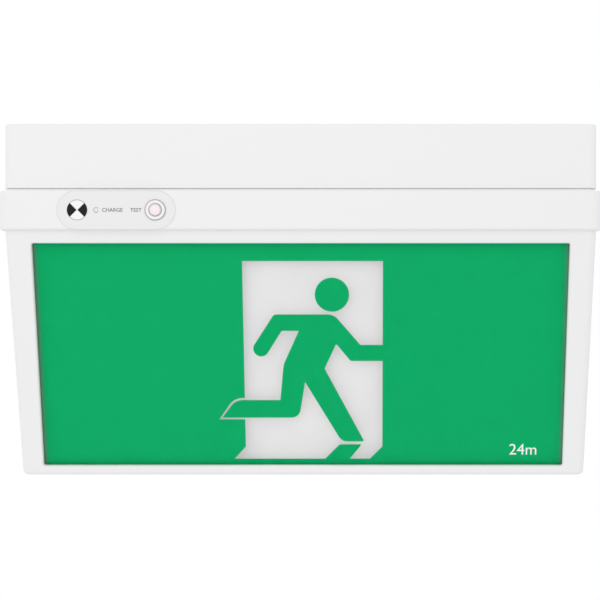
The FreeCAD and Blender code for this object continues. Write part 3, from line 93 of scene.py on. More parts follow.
# %% [markdown]
# Every finish starts the same way: a Principled shader with typical values for the stuff, and the
# piece's own coordinates in millimetres, so that a pattern's size is written as a real size. Three
# more functions do what most finishes need: soft lumps, a roughness that wanders and a colour that
# wanders. A last one makes the finishes that need no more than one colour and soft lumps.

# %% The start of a finish
def surface(name, chart, rough, **settings):
    """A new material, its tree, its Principled shader and Object coordinates in millimetres."""
    material = bpy.data.materials.new(name)
    material.use_nodes = True
    tree = material.node_tree
    tree.nodes.clear()
    values = {"Base Color": linear(chart), "Roughness": rough}
    values.update({key.replace("_", " "): content for key, content in settings.items()})
    shader = add(tree, "BsdfPrincipled", values)
    add(tree, "OutputMaterial", Surface=shader.outputs[0])
    place = add(tree, "TexCoord")
    millimetres = add(tree, "VectorMath", {"operation": "SCALE", "Scale": 1 / MM},
                      Vector=place.outputs["Object"])
    return material, tree, shader, millimetres.outputs[0]


def grain(tree, shader, where, size, depth):
    """Bump the surface with soft noise whose lumps are size millimetres across and depth deep."""
    noise = add(tree, "TexNoise", {"Scale": 1 / size, "Detail": 2.0}, Vector=where)
    bump = add(tree, "Bump", {"Distance": depth * MM, "Strength": 1.0}, Height=noise.outputs[0])
    tree.links.new(bump.outputs[0], shader.inputs["Normal"])


def uneven(tree, shader, where, size, low, high):
    """Let the roughness wander between two values over patches of size millimetres."""
    noise = add(tree, "TexNoise", {"Scale": 1 / size, "Detail": 3.0}, Vector=where)
    ramp = add(tree, "MapRange", {"From Min": 0.3, "From Max": 0.7, "To Min": low, "To Max": high},
               Value=noise.outputs[0])
    tree.links.new(ramp.outputs[0], shader.inputs["Roughness"])


def tint(tree, shader, where, size, dark, light):
    """Let the colour wander between two charts over patches of size millimetres."""
    noise = add(tree, "TexNoise", {"Scale": 1 / size, "Detail": 3.0}, Vector=where)
    ramp = add(tree, "MapRange", {"From Min": 0.35, "From Max": 0.65}, Value=noise.outputs[0])
    mix = add(tree, "Mix", {"data_type": "RGBA", 6: linear(dark), 7: linear(light)},
              i0=ramp.outputs[0])
    tree.links.new(mix.outputs[2], shader.inputs["Base Color"])
    return mix.outputs[2]


def plain(name, chart, rough, size, depth, **settings):
    """A finish with one colour and nothing but grain: lumps of size mm, depth mm deep."""
    material, tree, shader, where = surface(name, chart, rough, **settings)
    grain(tree, shader, where, size, depth)
    return material


# %% [markdown]
# ## Moulded white polycarbonate
# The housing and the cover are injection-moulded polycarbonate. The tool is spark-eroded, which
# leaves a fine matt grain of about a fifth of a millimetre; drawn at 0.7 mm it still shows as the
# faint tooth that takes the gloss off. The colour is a plain bright white with no yellow in it.

# %% Polycarbonate
polycarbonate, tree, shader, where = surface("spark_eroded_polycarbonate", "F1F1F1", 0.5, IOR=1.585)
grain(tree, shader, where, 0.7, 0.012)
uneven(tree, shader, where, 9.0, 0.46, 0.56)
print("finish:", polycarbonate.name)

# %% [markdown]
# ## The legend: clear pane, green print, opal field
# The pane is clear cast acrylic with a low-reflection surface. Refraction through a flat pane only
# shifts what is behind it by a millimetre, so the pane is modelled as what it does: light passes
# straight through, and a small share that grows towards grazing angles is reflected. That share is
# Fresnel's law. It drives the alpha of a polished surface, and only on faces seen from outside,
# because no ray is bent on its way in and so none may be held back on its way out.

# %% Clear acrylic
clear_acrylic, tree, shader, where = surface("cast_clear_acrylic", "FFFFFF", 0.16, Metallic=1.0)
fresnel = add(tree, "Fresnel", {"IOR": 1.12})
facing = add(tree, "NewGeometry")
outside = add(tree, "Math", {"operation": "SUBTRACT", 0: 1.0}, i1=facing.outputs["Backfacing"])
share = add(tree, "Math", {"operation": "MULTIPLY"}, i0=fresnel.outputs[0], i1=outside.outputs[0])
tree.links.new(share.outputs[0], shader.inputs["Alpha"])
print("finish:", clear_acrylic.name)

# %% [markdown]
# The green is screen-printed on the back of the pane, so it has no surface of its own to shine, and
# a white layer is printed behind it that sends light back to the field. Which layer shows depends
# on the way a face looks, and the Normal output of the object's own coordinates tells that. The
# green turns grey at its two ends: that is painted shade, the shadow that the window's side walls
# cast on the recessed print. The field behind is cast opal acrylic, a milk white, and its faint glow
# is painted light that lifts it, and the thin gaps in the print, out of the print's shade.

# %% Screen print and opal acrylic
green_print, tree, shader, where = surface("screen_printed_green", "0BAA68", 0.6,
                                           Specular_IOR_Level=0.0)
greens = tint(tree, shader, where, 6.0, "0AAB67", "0CAF6B")
grain(tree, shader, where, 0.5, 0.004)

own = add(tree, "TexCoord")
looks = add(tree, "SeparateXYZ", Vector=own.outputs["Normal"])
rear = add(tree, "Math", {"operation": "GREATER_THAN", 1: 0.5}, i0=looks.outputs["Y"])

print_low, print_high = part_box("legend_print")
# Painted shade: near both ends of the print the green is mixed towards grey, as the window's side walls
# shade it.
EDGE_SHADE_WIDE = 4.9
EDGE_SHADE_FADE = 2.8
edge_shade_start = print_high.x / MM - EDGE_SHADE_WIDE
across = add(tree, "SeparateXYZ", Vector=where)
end = add(tree, "Math", {"operation": "ABSOLUTE"}, i0=across.outputs["X"])
band = add(tree, "MapRange", {"From Min": edge_shade_start, "From Max": edge_shade_start + EDGE_SHADE_FADE, "To Max": 0.85},
           Value=end.outputs[0])
edge_shaded = add(tree, "Mix", {"data_type": "RGBA", 7: linear("7F8F88")}, i0=band.outputs[0], i6=greens)
layers = add(tree, "Mix", {"data_type": "RGBA", 7: linear("F2F2F0")}, i0=rear.outputs[0],
             i6=edge_shaded.outputs[2])
tree.links.new(layers.outputs[2], shader.inputs["Base Color"])
# The printed value is where the painted edge shade begins.
print("edge shade from", round(edge_shade_start, 1), "mm of", round(print_high.x / MM, 1))

# Painted light: the opal field glows faintly by itself, which lifts it and the thin gaps in the print out
# of the print's shade.
opal_acrylic, tree, shader, where = surface("opal_acrylic", "D2D2D2", 0.45, IOR=1.49,
                                            Emission_Color=(1, 1, 1, 1), Emission_Strength=0.18)
tint(tree, shader, where, 25.0, "D0D0D0", "D4D4D4")
grain(tree, shader, where, 0.8, 0.004)

print("finishes:", green_print.name, opal_acrylic.name)

# %% [markdown]
# The words and rings are screen ink too. The printing mesh leaves a tooth of about a third of a
# millimetre in it, which keeps it matt. The label itself is polyester film with a matt face, and
# it is a shade darker than the housing. Its black quarters are solid and nearly without shine.

# %% Label and inks
# The faint grey is no ink: it is painted shade along the label's edge.
INKS = {"white_print_ink": "F7F8F6", "grey_print_ink": "747476", "painted_edge_shade_grey": "E0E0E0",
        "mid_grey_print_ink": "ABABAD"}
white_print, grey_print, edge_shade_grey, dim_print = [plain(name, chart, 0.5, 0.3, 0.003)
                                                   for name, chart in INKS.items()]
black_print, tree, shader, where = surface("black_print_ink", "0E0E0E", 0.5,
                                           Specular_IOR_Level=0.2)
uneven(tree, shader, where, 2.0, 0.36, 0.48)
label_film = plain("matt_polyester_label", "ECECEC", 0.42, 0.25, 0.003)
print("inks:", ", ".join([*INKS, black_print.name]))

# %% [markdown]
# ## Moulded fittings
# The button and its bezel are moulded ABS, smoother than the housing. The button is a very pale
# pink, because it is a milky plastic, and it is darkened towards its rim by painted shade, the shade
# of the narrow gap round it; the distance from its centre mixes the two. The same distance draws
# the grey line near the edge of the bezel, which is painted shade at the bezel's outer edge.

# %% Button and bezel finishes
button_low, button_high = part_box("test_button")
button_x = (button_low.x + button_high.x) / 2
button_z = (button_low.z + button_high.z) / 2
RIM_SHADE_STARTS = 2.5
RIM_SHADE_FULL = 3.1
BEZEL_SHADE_AT = 5.5
BEZEL_SHADE_FADE = 0.1


def from_button(tree, where):
    """The distance in mm from the button's axis: the length of (x - button x, z - button z)."""
    centred = add(tree, "Mapping", {"Location": (-button_x / MM, 0, -button_z / MM), "Scale": (1, 0, 1)},
                  Vector=where)
    reach = add(tree, "VectorMath", {"operation": "LENGTH"}, i0=centred.outputs[0])
    return reach.outputs["Value"]


button_abs, tree, shader, where = surface("milky_pink_abs", "F8EAEC", 0.3, Subsurface_Weight=0.15,
                                          Subsurface_Scale=0.001)
# Painted shade: the cap turns a darker pink towards its rim, where the gap round it lies in shade.
rim = add(tree, "MapRange", {"From Min": RIM_SHADE_STARTS, "From Max": RIM_SHADE_FULL},
          Value=from_button(tree, where))
rim_shaded = add(tree, "Mix", {"data_type": "RGBA", 6: linear("F9EDEF"), 7: linear("DDCFD3")},
            i0=rim.outputs[0])
tree.links.new(rim_shaded.outputs[2], shader.inputs["Base Color"])
grain(tree, shader, where, 0.6, 0.003)

bezel_abs, tree, shader, where = surface("polished_white_abs", "F2F2F2", 0.3)
# Painted shade: a grey band at the bezel's outer edge, where it meets the collar.
line = add(tree, "MapRange", {"From Min": BEZEL_SHADE_AT, "From Max": BEZEL_SHADE_AT + BEZEL_SHADE_FADE},
           Value=from_button(tree, where))
ring = add(tree, "Mix", {"data_type": "RGBA", 6: linear("F2F2F2"), 7: linear("A6A6A8")},
           i0=line.outputs[0])
tree.links.new(ring.outputs[2], shader.inputs["Base Color"])
grain(tree, shader, where, 1.2, 0.003)
print("button's axis at", round(button_x / MM, 2), round(button_z / MM, 2), "mm")

# %% [markdown]
# The other plastics and the rubber are plain mouldings, and each has its usual colour and tooth.
# The charge light's pipe is acrylic with a frosted end. ABS is greyer than the polycarbonate.
# Natural nylon is a cream white that light enters a little, and the polyamide of the terminals is
# greyer. The seal is soft white foam, and the cable's grommet is black rubber with a dusty look.

# %% Other mouldings
pipe_acrylic = plain("frosted_pipe_acrylic", "E6E7E5", 0.35, 0.4, 0.004, IOR=1.49,
                     Subsurface_Weight=0.2, Subsurface_Scale=0.002)
white_abs = plain("moulded_white_abs", "EAEAE8", 0.5, 0.6, 0.008)
nylon = plain("natural_nylon", "DEDBCD", 0.5, 0.5, 0.006, Subsurface_Weight=0.1,
              Subsurface_Scale=0.002)
terminal_polyamide = plain("grey_white_polyamide", "D9D9D2", 0.45, 0.5, 0.008)
white_seal = plain("white_foam_seal", "F4F4F4", 0.7, 0.5, 0.01)
rubber, tree, shader, where = surface("black_epdm_rubber", "262626", 0.72)
grain(tree, shader, where, 0.4, 0.02)
tint(tree, shader, where, 4.0, "222222", "2D2D2C")
print("mouldings:", pipe_acrylic.name, white_abs.name, nylon.name, white_seal.name, rubber.name)

# %% [markdown]
# ## Metals
# The tray is steel sheet with a white powder coat, which dries with a faint orange peel about two
# millimetres across. Screws and brackets are zinc-plated: bright, slightly blue, with a cloudy
# roughness. The springs are bare stainless strip with fine rolling lines along the strip.

# %% Powder coat, zinc and spring steel
powder_coat = plain("white_powder_coat", "ECECEA", 0.42, 2.0, 0.02, Coat_Weight=0.15)
zinc, tree, shader, where = surface("zinc_plate", "C3C7CB", 0.35, Metallic=1.0)
uneven(tree, shader, where, 1.5, 0.24, 0.46)
tint(tree, shader, where, 3.0, "B9BDC2", "CDD0D2")
spring_steel, tree, shader, where = surface("rolled_spring_steel", "A9ABAE", 0.3, Metallic=1.0)
stretch = add(tree, "Mapping", {"Scale": (0.05, 1.0, 1.0)}, Vector=where)
uneven(tree, shader, stretch.outputs[0], 0.4, 0.22, 0.42)
print("metals:", powder_coat.name, zinc.name, spring_steel.name)

# %% [markdown]
# ## Circuit parts
# Boards are glass-fibre laminate under a solder mask; the weave shows faintly through the green one.
# The lamp board has a white mask so that it gives no colour to the light, and its lamps are yellow
# phosphor in silicone, in white packages.

# %% Boards and lamps
green_mask, tree, shader, where = surface("green_solder_mask", "14552F", 0.32, Coat_Weight=0.3)
weave = add(tree, "TexWave", {"Scale": 0.35, "Distortion": 0.6, "Detail": 1.0}, Vector=where)
bump = add(tree, "Bump", {"Distance": 0.01 * MM}, Height=weave.outputs[1])
tree.links.new(bump.outputs[0], shader.inputs["Normal"])
tint(tree, shader, where, 5.0, "0F4A27", "1A6238")
white_mask = plain("white_solder_mask", "EFEEE8", 0.35, 0.8, 0.006, Coat_Weight=0.2)
phosphor, tree, shader, where = surface("phosphor_silicone", "F1DC74", 0.3)
tint(tree, shader, where, 0.7, "EAD15E", "F5E58C")
lamp_package = plain("white_lamp_package", "EDEBE4", 0.4, 0.3, 0.004)
print("boards:", green_mask.name, white_mask.name, lamp_package.name)

# %% [markdown]
# The battery and the capacitors wear shrunk PVC sleeves, glossy and slightly wavy over what they
# hold, so their lumps are millimetres wide. The capacitors' lids are drawn aluminium. The relay's
# and the switch's cases are glass-filled mouldings, and the charge light is a cloudy green epoxy.

# %% Components
sleeve_pvc = plain("heat_shrink_pvc", "1F5FA8", 0.28, 5.0, 0.06, Coat_Weight=0.4)
capacitor_sleeve = plain("printed_capacitor_sleeve", "1B2133", 0.3, 3.0, 0.03)
can_aluminium, tree, shader, where = surface("drawn_aluminium", "CDCFD1", 0.3, Metallic=1.0)
uneven(tree, shader, where, 1.0, 0.22, 0.4)
relay_pbt = plain("blue_pbt", "1F4F9A", 0.35, 0.5, 0.01)
switch_nylon = plain("black_switch_nylon", "1E1E1F", 0.45, 0.4, 0.01)
lamp_epoxy = plain("diffused_green_epoxy", "BFD9B8", 0.25, 0.3, 0.004)
print("components:", sleeve_pvc.name, capacitor_sleeve.name, can_aluminium.name, relay_pbt.name)

# %% [markdown]
# Two solids hold more than one stuff. The transformer's ferrite core shows only within the depth of
# the core; the winding that stands out of it is wrapped in yellow polyester tape. The fuse is a
# glass tube between two nickel caps. The distance from the node's middle along one axis tells them.

# %% Two stuffs in one solid
def banded(tree, shader, where, node, axis, core, inner, outer):
    """Change colour at core mm from a node's middle along an axis, and return the outer mask."""
    low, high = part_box(node)
    middle = (low["XYZ".index(axis)] + high["XYZ".index(axis)]) / 2 / MM
    place = add(tree, "SeparateXYZ", Vector=where)
    offset = add(tree, "Math", {"operation": "SUBTRACT", 1: middle}, i0=place.outputs[axis])
    away = add(tree, "Math", {"operation": "ABSOLUTE"}, i0=offset.outputs[0])
    mask = add(tree, "Math", {"operation": "GREATER_THAN", 1: core}, i0=away.outputs[0])
    mix = add(tree, "Mix", {"data_type": "RGBA", 6: linear(inner), 7: linear(outer)}, i0=mask.outputs[0])
    tree.links.new(mix.outputs[2], shader.inputs["Base Color"])
    return mask.outputs[0]


CORE_HALF = 7.02
GLASS_HALF = 5.0
ferrite, tree, shader, where = surface("sintered_ferrite", "2A2A2C", 0.5)
grain(tree, shader, where, 0.3, 0.02)
banded(tree, shader, where, "transformer", "Y", CORE_HALF, "2A2A2C", "D9B53A")
fuse_glass, tree, shader, where = surface("fuse_glass_and_nickel", "C9CDC9", 0.2)
grain(tree, shader, where, 0.5, 0.004)
caps = banded(tree, shader, where, "mains_fuse", "X", GLASS_HALF, "DDE4E1", "C6C9CB")
tree.links.new(caps, shader.inputs["Metallic"])
print("banded:", ferrite.name, fuse_glass.name)

# %% [markdown]
# Each lead is a bundle of separate wires. The wires of a bundle are mesh islands, and Blender gives
# every island a number of its own, which picks one of two colours of insulation.

# %% Wire insulation
def insulation(name, first, second):
    """Glossy PVC in one of two colours, chosen for each wire."""
    material, tree, shader, where = surface(name, first, 0.35)
    island = add(tree, "NewGeometry")
    pick = add(tree, "Math", {"operation": "GREATER_THAN", 1: 0.5}, i0=island.outputs["Random Per Island"])
    mix = add(tree, "Mix", {"data_type": "RGBA", 6: linear(first), 7: linear(second)}, i0=pick.outputs[0])
    tree.links.new(mix.outputs[2], shader.inputs["Base Color"])
    grain(tree, shader, where, 0.8, 0.01)
    return material


red_wire = insulation("battery_wire_pvc", "B5201C", "1D1D1F")
white_wire = insulation("signal_wire_pvc", "E6E6E2", "C9C9C4")
brown_wire = insulation("mains_wire_pvc", "5A3420", "2C5FA6")
print("wires:", red_wire.name, white_wire.name, brown_wire.name)

# %% [markdown]
# ## Finishes onto the solids
# A CAD node keeps its mesh and only changes what is in its material slots.

# %% Assign every finish
FINISHES = {
    polycarbonate: ["gear_housing", "cover_frame"],
    clear_acrylic: ["legend_lens"],
    green_print: ["legend_print"],
    opal_acrylic: ["diffuser_panel"],
    white_abs: ["spacer_frame"],
    white_mask: ["lamp_board"],
    powder_coat: ["gear_tray", "reflector_sheet"],
    zinc: ["tray_screws", "board_screws", "terminal_screws", "indicator_bracket",
           "retaining_strips", "retainer_screws"],
    spring_steel: ["battery_clips", "grip_springs", "button_spring"],
    phosphor: ["lamps"],
    sleeve_pvc: ["battery_pack"],
    green_mask: ["driver_board", "indicator_board"],
    nylon: ["board_standoffs", "board_headers", "button_guide"],
    ferrite: ["transformer"],
    capacitor_sleeve: ["capacitors"],
    relay_pbt: ["relay"],
    fuse_glass: ["mains_fuse"],
    terminal_polyamide: ["terminal_block"],
    rubber: ["cable_grommet"],
    label_film: ["control_label"],
    white_print: ["marker_disc"],
    black_print: ["marker_quarters"],
    bezel_abs: ["button_bezel"],
    button_abs: ["test_button"],
    pipe_acrylic: ["light_pipe"],
    lamp_epoxy: ["charge_lamp"],
    switch_nylon: ["test_switch"],
    red_wire: ["battery_lead"],
    white_wire: ["lamp_lead", "indicator_lead"],
    brown_wire: ["mains_lead"],
}
for material, names in FINISHES.items():
    for name in names:
        slots = nodes[name].data.materials
        slots.clear()
        slots.append(material)
bare = sorted(set(nodes) - {name for names in FINISHES.values() for name in names})
print("nodes without a finish:", bare)

# %% [markdown]
# ## Pieces that are too fine for the solids
# The solids keep screws, the button, the bezel, the lamps and the capacitors as plain turned or
# square shapes. Here each gets its real form. All but the lamps are turned: a profile of radii and
# heights goes round an axis. One function works out such a surface as arrays, one stands it on a
# point along an axis, and one makes the object, rides it on its body and names what it stands for.
# The sign's directions are named first: right and up as the legend is read, and out towards the
# reader.

# %% Turned shapes
RIGHT = (1, 0, 0)
UP = (0, 0, 1)
DOWN = (0, 0, -1)
OUT = (0, -1, 0)
SHARP = math.radians(38)


def turned(profile, sides, closed=False):
    """Turn (radius, height) pairs round z: a point is (r cos t, r sin t, h) for each angle t.

    An open profile starts and ends on the axis, where one point closes it; a closed one is a ring
    whose outside is drawn upwards.
    """
    rings = np.array(profile if closed else profile[1:-1], dtype=float)
    angle = np.linspace(0, 2 * np.pi, sides, endpoint=False)
    points = np.stack([np.outer(rings[:, 0], np.cos(angle)), np.outer(rings[:, 0], np.sin(angle)),
                       np.repeat(rings[:, 1:], sides, axis=1)], axis=2).reshape(-1, 3)
    row, column = np.meshgrid(np.arange(len(rings) - (not closed)), np.arange(sides), indexing="ij")
    below, above = row * sides, (row + 1) % len(rings) * sides
    beside = (column + 1) % sides
    faces = np.stack([below + column, below + beside, above + beside, above + column], axis=-1)
    faces = faces.reshape(-1, 4).tolist()
    if not closed:
        around = np.arange(sides)
        following, last = (around + 1) % sides, len(points) - sides
        foot, tip = np.full(sides, len(points)), np.full(sides, len(points) + 1)
        faces += np.stack([foot, following, around], axis=1).tolist()
        faces += np.stack([tip, last + around, last + following], axis=1).tolist()
        points = np.vstack([points, [0, 0, profile[0][1]], [0, 0, profile[-1][1]]])
    return points, faces


def stand(points, base, axis):
    """Points in mm about z, put at a base in metres: base + x side + y (axis x side) + z axis."""
    axis = np.array(axis, dtype=float)
    side = np.cross(axis, (0, 0, 1.0) if abs(axis[2]) < 0.9 else (0, 1.0, 0))
    side /= np.linalg.norm(side)
    return np.array(base) + points @ np.array([side, np.cross(axis, side), axis]) * MM


def piece(name, parts, materials, body, stands_for=(), second=None):
    """One object from (points, faces) parts; second(points of the face centres) picks material two."""
    points, faces, start = [], [], 0
    for some, corners in parts:
        points.append(some)
        faces += [[start + corner for corner in face] for face in corners]
        start += len(some)
    mesh = bpy.data.meshes.new(name)
    mesh.from_pydata(np.vstack(points).tolist(), [], faces)
    for material in materials:
        mesh.materials.append(material)
    if second:
        centres = np.empty(3 * len(mesh.polygons))
        mesh.polygons.foreach_get("center", centres)
        mesh.polygons.foreach_set("material_index", second(centres.reshape(-1, 3)).astype(np.int32))
    mesh.shade_smooth()
    mesh.set_sharp_from_angle(angle=SHARP)
    made = bpy.data.objects.new(name, mesh)
    bpy.context.scene.collection.objects.link(made)
    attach(made, body)
    if stands_for:
        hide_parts(*stands_for)
    print(name, "faces:", len(mesh.polygons))
    return made


# %% [markdown]
# The places come from the solids. A CAD node may hold several of them, so the next function sorts
# its triangles into solids: every point takes the lowest number among its neighbours until no
# number changes, and points with the same number belong together. Measured along an axis, each
# solid then gives its base, its length and its radius.

# %% Reading the solids of a node
WELD = 0.01 * MM


def solids(name):
    """The points of each separate solid of a CAD node; points closer than the weld count as one."""
    mesh = nodes[name].data
    points, corners = np.empty(3 * len(mesh.vertices)), np.empty(len(mesh.loops), dtype=np.int32)
    mesh.vertices.foreach_get("co", points)
    mesh.loops.foreach_get("vertex_index", corners)
    places, index = np.unique(np.round(points.reshape(-1, 3) / WELD), axis=0, return_inverse=True)
    triangles = index.ravel()[corners].reshape(-1, 3)
    number = np.arange(len(places))
    settled = False
    while not settled:
        lower = number.copy()
        np.minimum.at(lower, triangles.ravel(), np.repeat(number[triangles].min(axis=1), 3))
        settled = (lower == number).all()
        number = lower
    return [places[number == each] * WELD for each in np.unique(number)]


def rods(name, axis):
    """Base in metres, and length and radius in mm, of each solid of a node along an axis."""
    axis = np.array(axis, dtype=float)
    found = []
    for points in solids(name):
        along = points @ axis
        flat = points - np.outer(along, axis)
        middle = (flat.max(axis=0) + flat.min(axis=0)) / 2
        radius = np.linalg.norm(flat - middle, axis=1).max()
        found.append((middle + axis * along.min(), np.ptp(along) / MM, radius / MM))
    return found


for base, length, radius in rods("tray_screws", DOWN):
    print("tray screw:", round(length, 2), "mm long, radius", round(radius, 2))

# %% [markdown]
# A pan-head screw is a shank, a flat underside and a domed head with a recess. The head has a short
# upright edge and a crown that is a quarter of an ellipse. The recess is two slots that cross at
# the middle, or one slot on the terminals. It is pressed into the crown by moving the head's points
# down by a depth that is full inside both limits and fades over a twentieth of a millimetre.

# %% Screws
PAN_HEAD = 1.6
FADE = 0.05


def screw(length, radius, head_high, arms=2, sides=48):
    """A screw of mm sizes, its tip at z 0 and its head up, with a cross (arms 2) or a slot (1).

    The crown is r = flat + bulge c, z = edge + rise sqrt(1 - c c), for c from 1 to 0.
    """
    shank, under = radius / 2, length - head_high
    flat, bulge = 0.12 * radius, 0.86 * radius
    edge, rise = under + 0.55 * head_high, 0.45 * head_high
    tip_chamfer, under_edge = 0.6 * shank, 0.1 * head_high
    profile = [(0, 0), (tip_chamfer, 0), (shank, tip_chamfer), (shank, under), (0.95 * radius, under),
               (radius, under + under_edge)]
    profile += [(flat + bulge * c, edge + rise * math.sqrt(1 - c * c)) for c in np.linspace(1, 0, 18)]
    profile += [(flat / 2, length), (0, length)]
    points, faces = turned(profile, sides)

    slot_half, slot_reach = 0.13 * radius, (0.58 if arms == 2 else 0.9) * radius
    x, y = np.abs(points[:, 0]), np.abs(points[:, 1])
    across = np.minimum(x, y) if arms == 2 else y
    reach = np.maximum(x, y) if arms == 2 else x
    pressed = np.clip((slot_half - across) / FADE, 0, 1) * np.clip((slot_reach - reach) / FADE, 0, 1)
    crown = points[:, 2] > under + 0.5 * head_high
    points[:, 2] -= np.where(crown, pressed * 0.5 * head_high, 0)
    return points, faces


def screws(name, node, axis, head_high, body, arms=2):
    """One piece with a screw in place of every solid of a node."""
    parts = []
    for base, length, radius in rods(node, axis):
        points, faces = screw(length, radius, head_high, arms)
        parts.append((stand(points, base, axis), faces))
    return piece(name, parts, [zinc], body, (node,))


screws("tray_pan_screws", "tray_screws", DOWN, PAN_HEAD, "housing")
screws("board_pan_screws", "board_screws", UP, PAN_HEAD, "housing")

# %% [markdown]
# The capacitors are drawn aluminium cans in a shrunk sleeve. The sleeve turns in over the rim and
# leaves a bare lid with a pressed relief cross, and a bead is rolled in above the foot. Within each
# can the height and the distance from its axis tell the sleeve from the bare lid.

# %% Capacitors
BEAD_DEEP = 0.25
RIM_WIDE = 0.9
LID_DROP = 0.3
RELIEF = 0.2


def can(length, radius):
    """A capacitor's can: foot, rolled bead, wall, rim, and a lid pressed with a cross."""
    waist, lid, level = radius - BEAD_DEEP, radius - RIM_WIDE - 0.1, length - LID_DROP
    profile = [(0, 0), (radius * 0.9, 0), (radius, 0.3), (radius, 1.1), (waist, 1.5), (waist, 1.8),
               (radius, 2.2), (radius, length - 0.5), (radius - 0.15, length - 0.12),
               (radius - 0.5, length), (radius - RIM_WIDE, length - 0.05),
               (radius - RIM_WIDE - 0.05, level)]
    profile += [(lid * c, level) for c in np.linspace(1, 0.05, 14)]
    profile.append((0, level))
    points, faces = turned(profile, 56)
    x, y = np.abs(points[:, 0]), np.abs(points[:, 1])
    cross = (np.minimum(x, y) < RELIEF) & (np.maximum(x, y) < radius * 0.6)
    points[:, 2] -= (cross & (points[:, 2] > level - 0.1)) * RELIEF
    return points, faces


cans = rods("capacitors", UP)


def bare_lid(centres):
    """True for faces within a can's rim and at its lid."""
    bare = np.zeros(len(centres), dtype=bool)
    for base, length, radius in cans:
        inside = np.hypot(centres[:, 0] - base[0], centres[:, 1] - base[1]) < (radius - 0.92) * MM
        bare |= inside & (centres[:, 2] > base[2] + (length - 0.7) * MM)
    return bare


parts = []
for base, length, radius in cans:
    points, faces = can(length, radius)
    parts.append((stand(points, base, UP), faces))
piece("capacitor_cans", parts, [capacitor_sleeve, can_aluminium], "housing",
      ("capacitors",), bare_lid)

# %% [markdown]
# A surface-mounted lamp is a small white package with a round well of yellow phosphor. Ring by
# ring, its outline goes from a rounded oblong at the board to a circle at the well: a point at
# angle t lies on the superellipse |x/a|^n + |y/b|^n = 1, and n falls from 8 to 2. The packages are
# set across the strip.

# %% Lamps
WELL_LIP = 0.12
SQUARE = 8
ROUND = 2


def package(long, wide, high, sides=48):
    """A lamp package of mm sizes standing on z 0, with its well at the top."""
    angle = np.linspace(0, 2 * np.pi, sides, endpoint=False)
    c, d = np.cos(angle), np.sin(angle)
    well, bevel, middle = wide * 0.38, 0.1, 0.05
    rings = [(long / 2, wide / 2, SQUARE, 0), (long / 2, wide / 2, SQUARE, high - 0.12),
             (long / 2 - bevel, wide / 2 - bevel, SQUARE, high), (well, well, ROUND, high),
             (well - WELL_LIP, well - WELL_LIP, ROUND, high - 0.15), (middle, middle, ROUND, high - 0.1)]
    rows = []
    for a, b, power, level in rings:
        reach = (np.abs(c / a) ** power + np.abs(d / b) ** power) ** (-1 / power)
        rows.append(np.stack([reach * c, reach * d, np.full(sides, level)], axis=1))
    points, faces = turned([(0, 0)] + [(1, ring[3]) for ring in rings] + [(0, high - 0.1)], sides)
    points[:len(rings) * sides] = np.vstack(rows)
    return points, faces


parts, middles = [], []
for points in solids("lamps"):
    low, high = points.min(axis=0), points.max(axis=0)
    along, across, tall = (high - low) / MM
    middle = (low + high) / 2
    points, faces = package(across, along, tall)
    parts.append((stand(points, (middle[0], middle[1], high[2]), DOWN), faces))
    middles.append(middle)
middles = np.array(middles)
WELL_REACH = 0.98 * MM


def phosphor_well(centres):
    """True for faces inside a lamp's well: in its lower half and near the middle of its package."""
    near = np.linalg.norm(centres[:, None, :2] - middles[None, :, :2], axis=2).min(axis=1)
    return (near < WELL_REACH) & (centres[:, 2] < middles[0, 2])


piece("lamp_packages", parts, [lamp_package, phosphor], "housing", ("lamps",),
      phosphor_well)

# %% [markdown]
# The button is one turned piece: a stem that meets the switch, a flange that keeps it in the
# collar, and a cap with a rounded edge and a shallow dome. Its heights are measured from the tip of
# the stem, in the order in which the profile goes round: the shoulder is where the flange meets the
# collar's wall.

# %% Button
CAP_RADIUS = 3.6
CAP_ROUND = 0.45
CAP_DOME = 0.18
FLANGE_RADIUS = 4.8
FLANGE_THICK = 1.2
STEM_RADIUS = 1.5
COLLAR_WALL = 2.8
STEM_EASE = 0.3
FLANGE_EASE = 0.15

bezel_low, bezel_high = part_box("button_bezel")
button_long = (button_high.y - button_low.y) / MM
shoulder = (button_high.y - bezel_high.y) / MM - COLLAR_WALL
seat = shoulder - FLANGE_THICK
profile = [(0, 0), (STEM_RADIUS - STEM_EASE, 0), (STEM_RADIUS, STEM_EASE),
           (STEM_RADIUS, seat - STEM_EASE), (STEM_RADIUS + STEM_EASE, seat),
           (FLANGE_RADIUS - FLANGE_EASE, seat), (FLANGE_RADIUS, seat + FLANGE_EASE),
           (FLANGE_RADIUS, shoulder - FLANGE_EASE), (FLANGE_RADIUS - FLANGE_EASE, shoulder),
           (CAP_RADIUS, shoulder)]
edge, flat = button_long - CAP_DOME - CAP_ROUND, CAP_RADIUS - CAP_ROUND
profile += [(flat + CAP_ROUND * math.cos(bend), edge + CAP_ROUND * math.sin(bend))
            for bend in np.linspace(0, np.pi / 2, 7)]
profile += [(flat * c, button_long - CAP_DOME * c * c) for c in np.linspace(0.92, 0.08, 11)]
profile.append((0, button_long))
points, faces = turned(profile, 72)
print("button shoulder at", round(shoulder, 2), "of", round(button_long, 2), "mm")
piece("test_button_cap", [(stand(points, (button_x, button_high.y, button_z), OUT), faces)],
      [button_abs], "button", ("test_button",))

# %% [markdown]
# The bezel is a ring round the cap with a running gap. Its section is an upright at each side and a
# crown between them: z = high (0.35 + 0.65 sqrt(sin t)), which is flatter than a half circle.

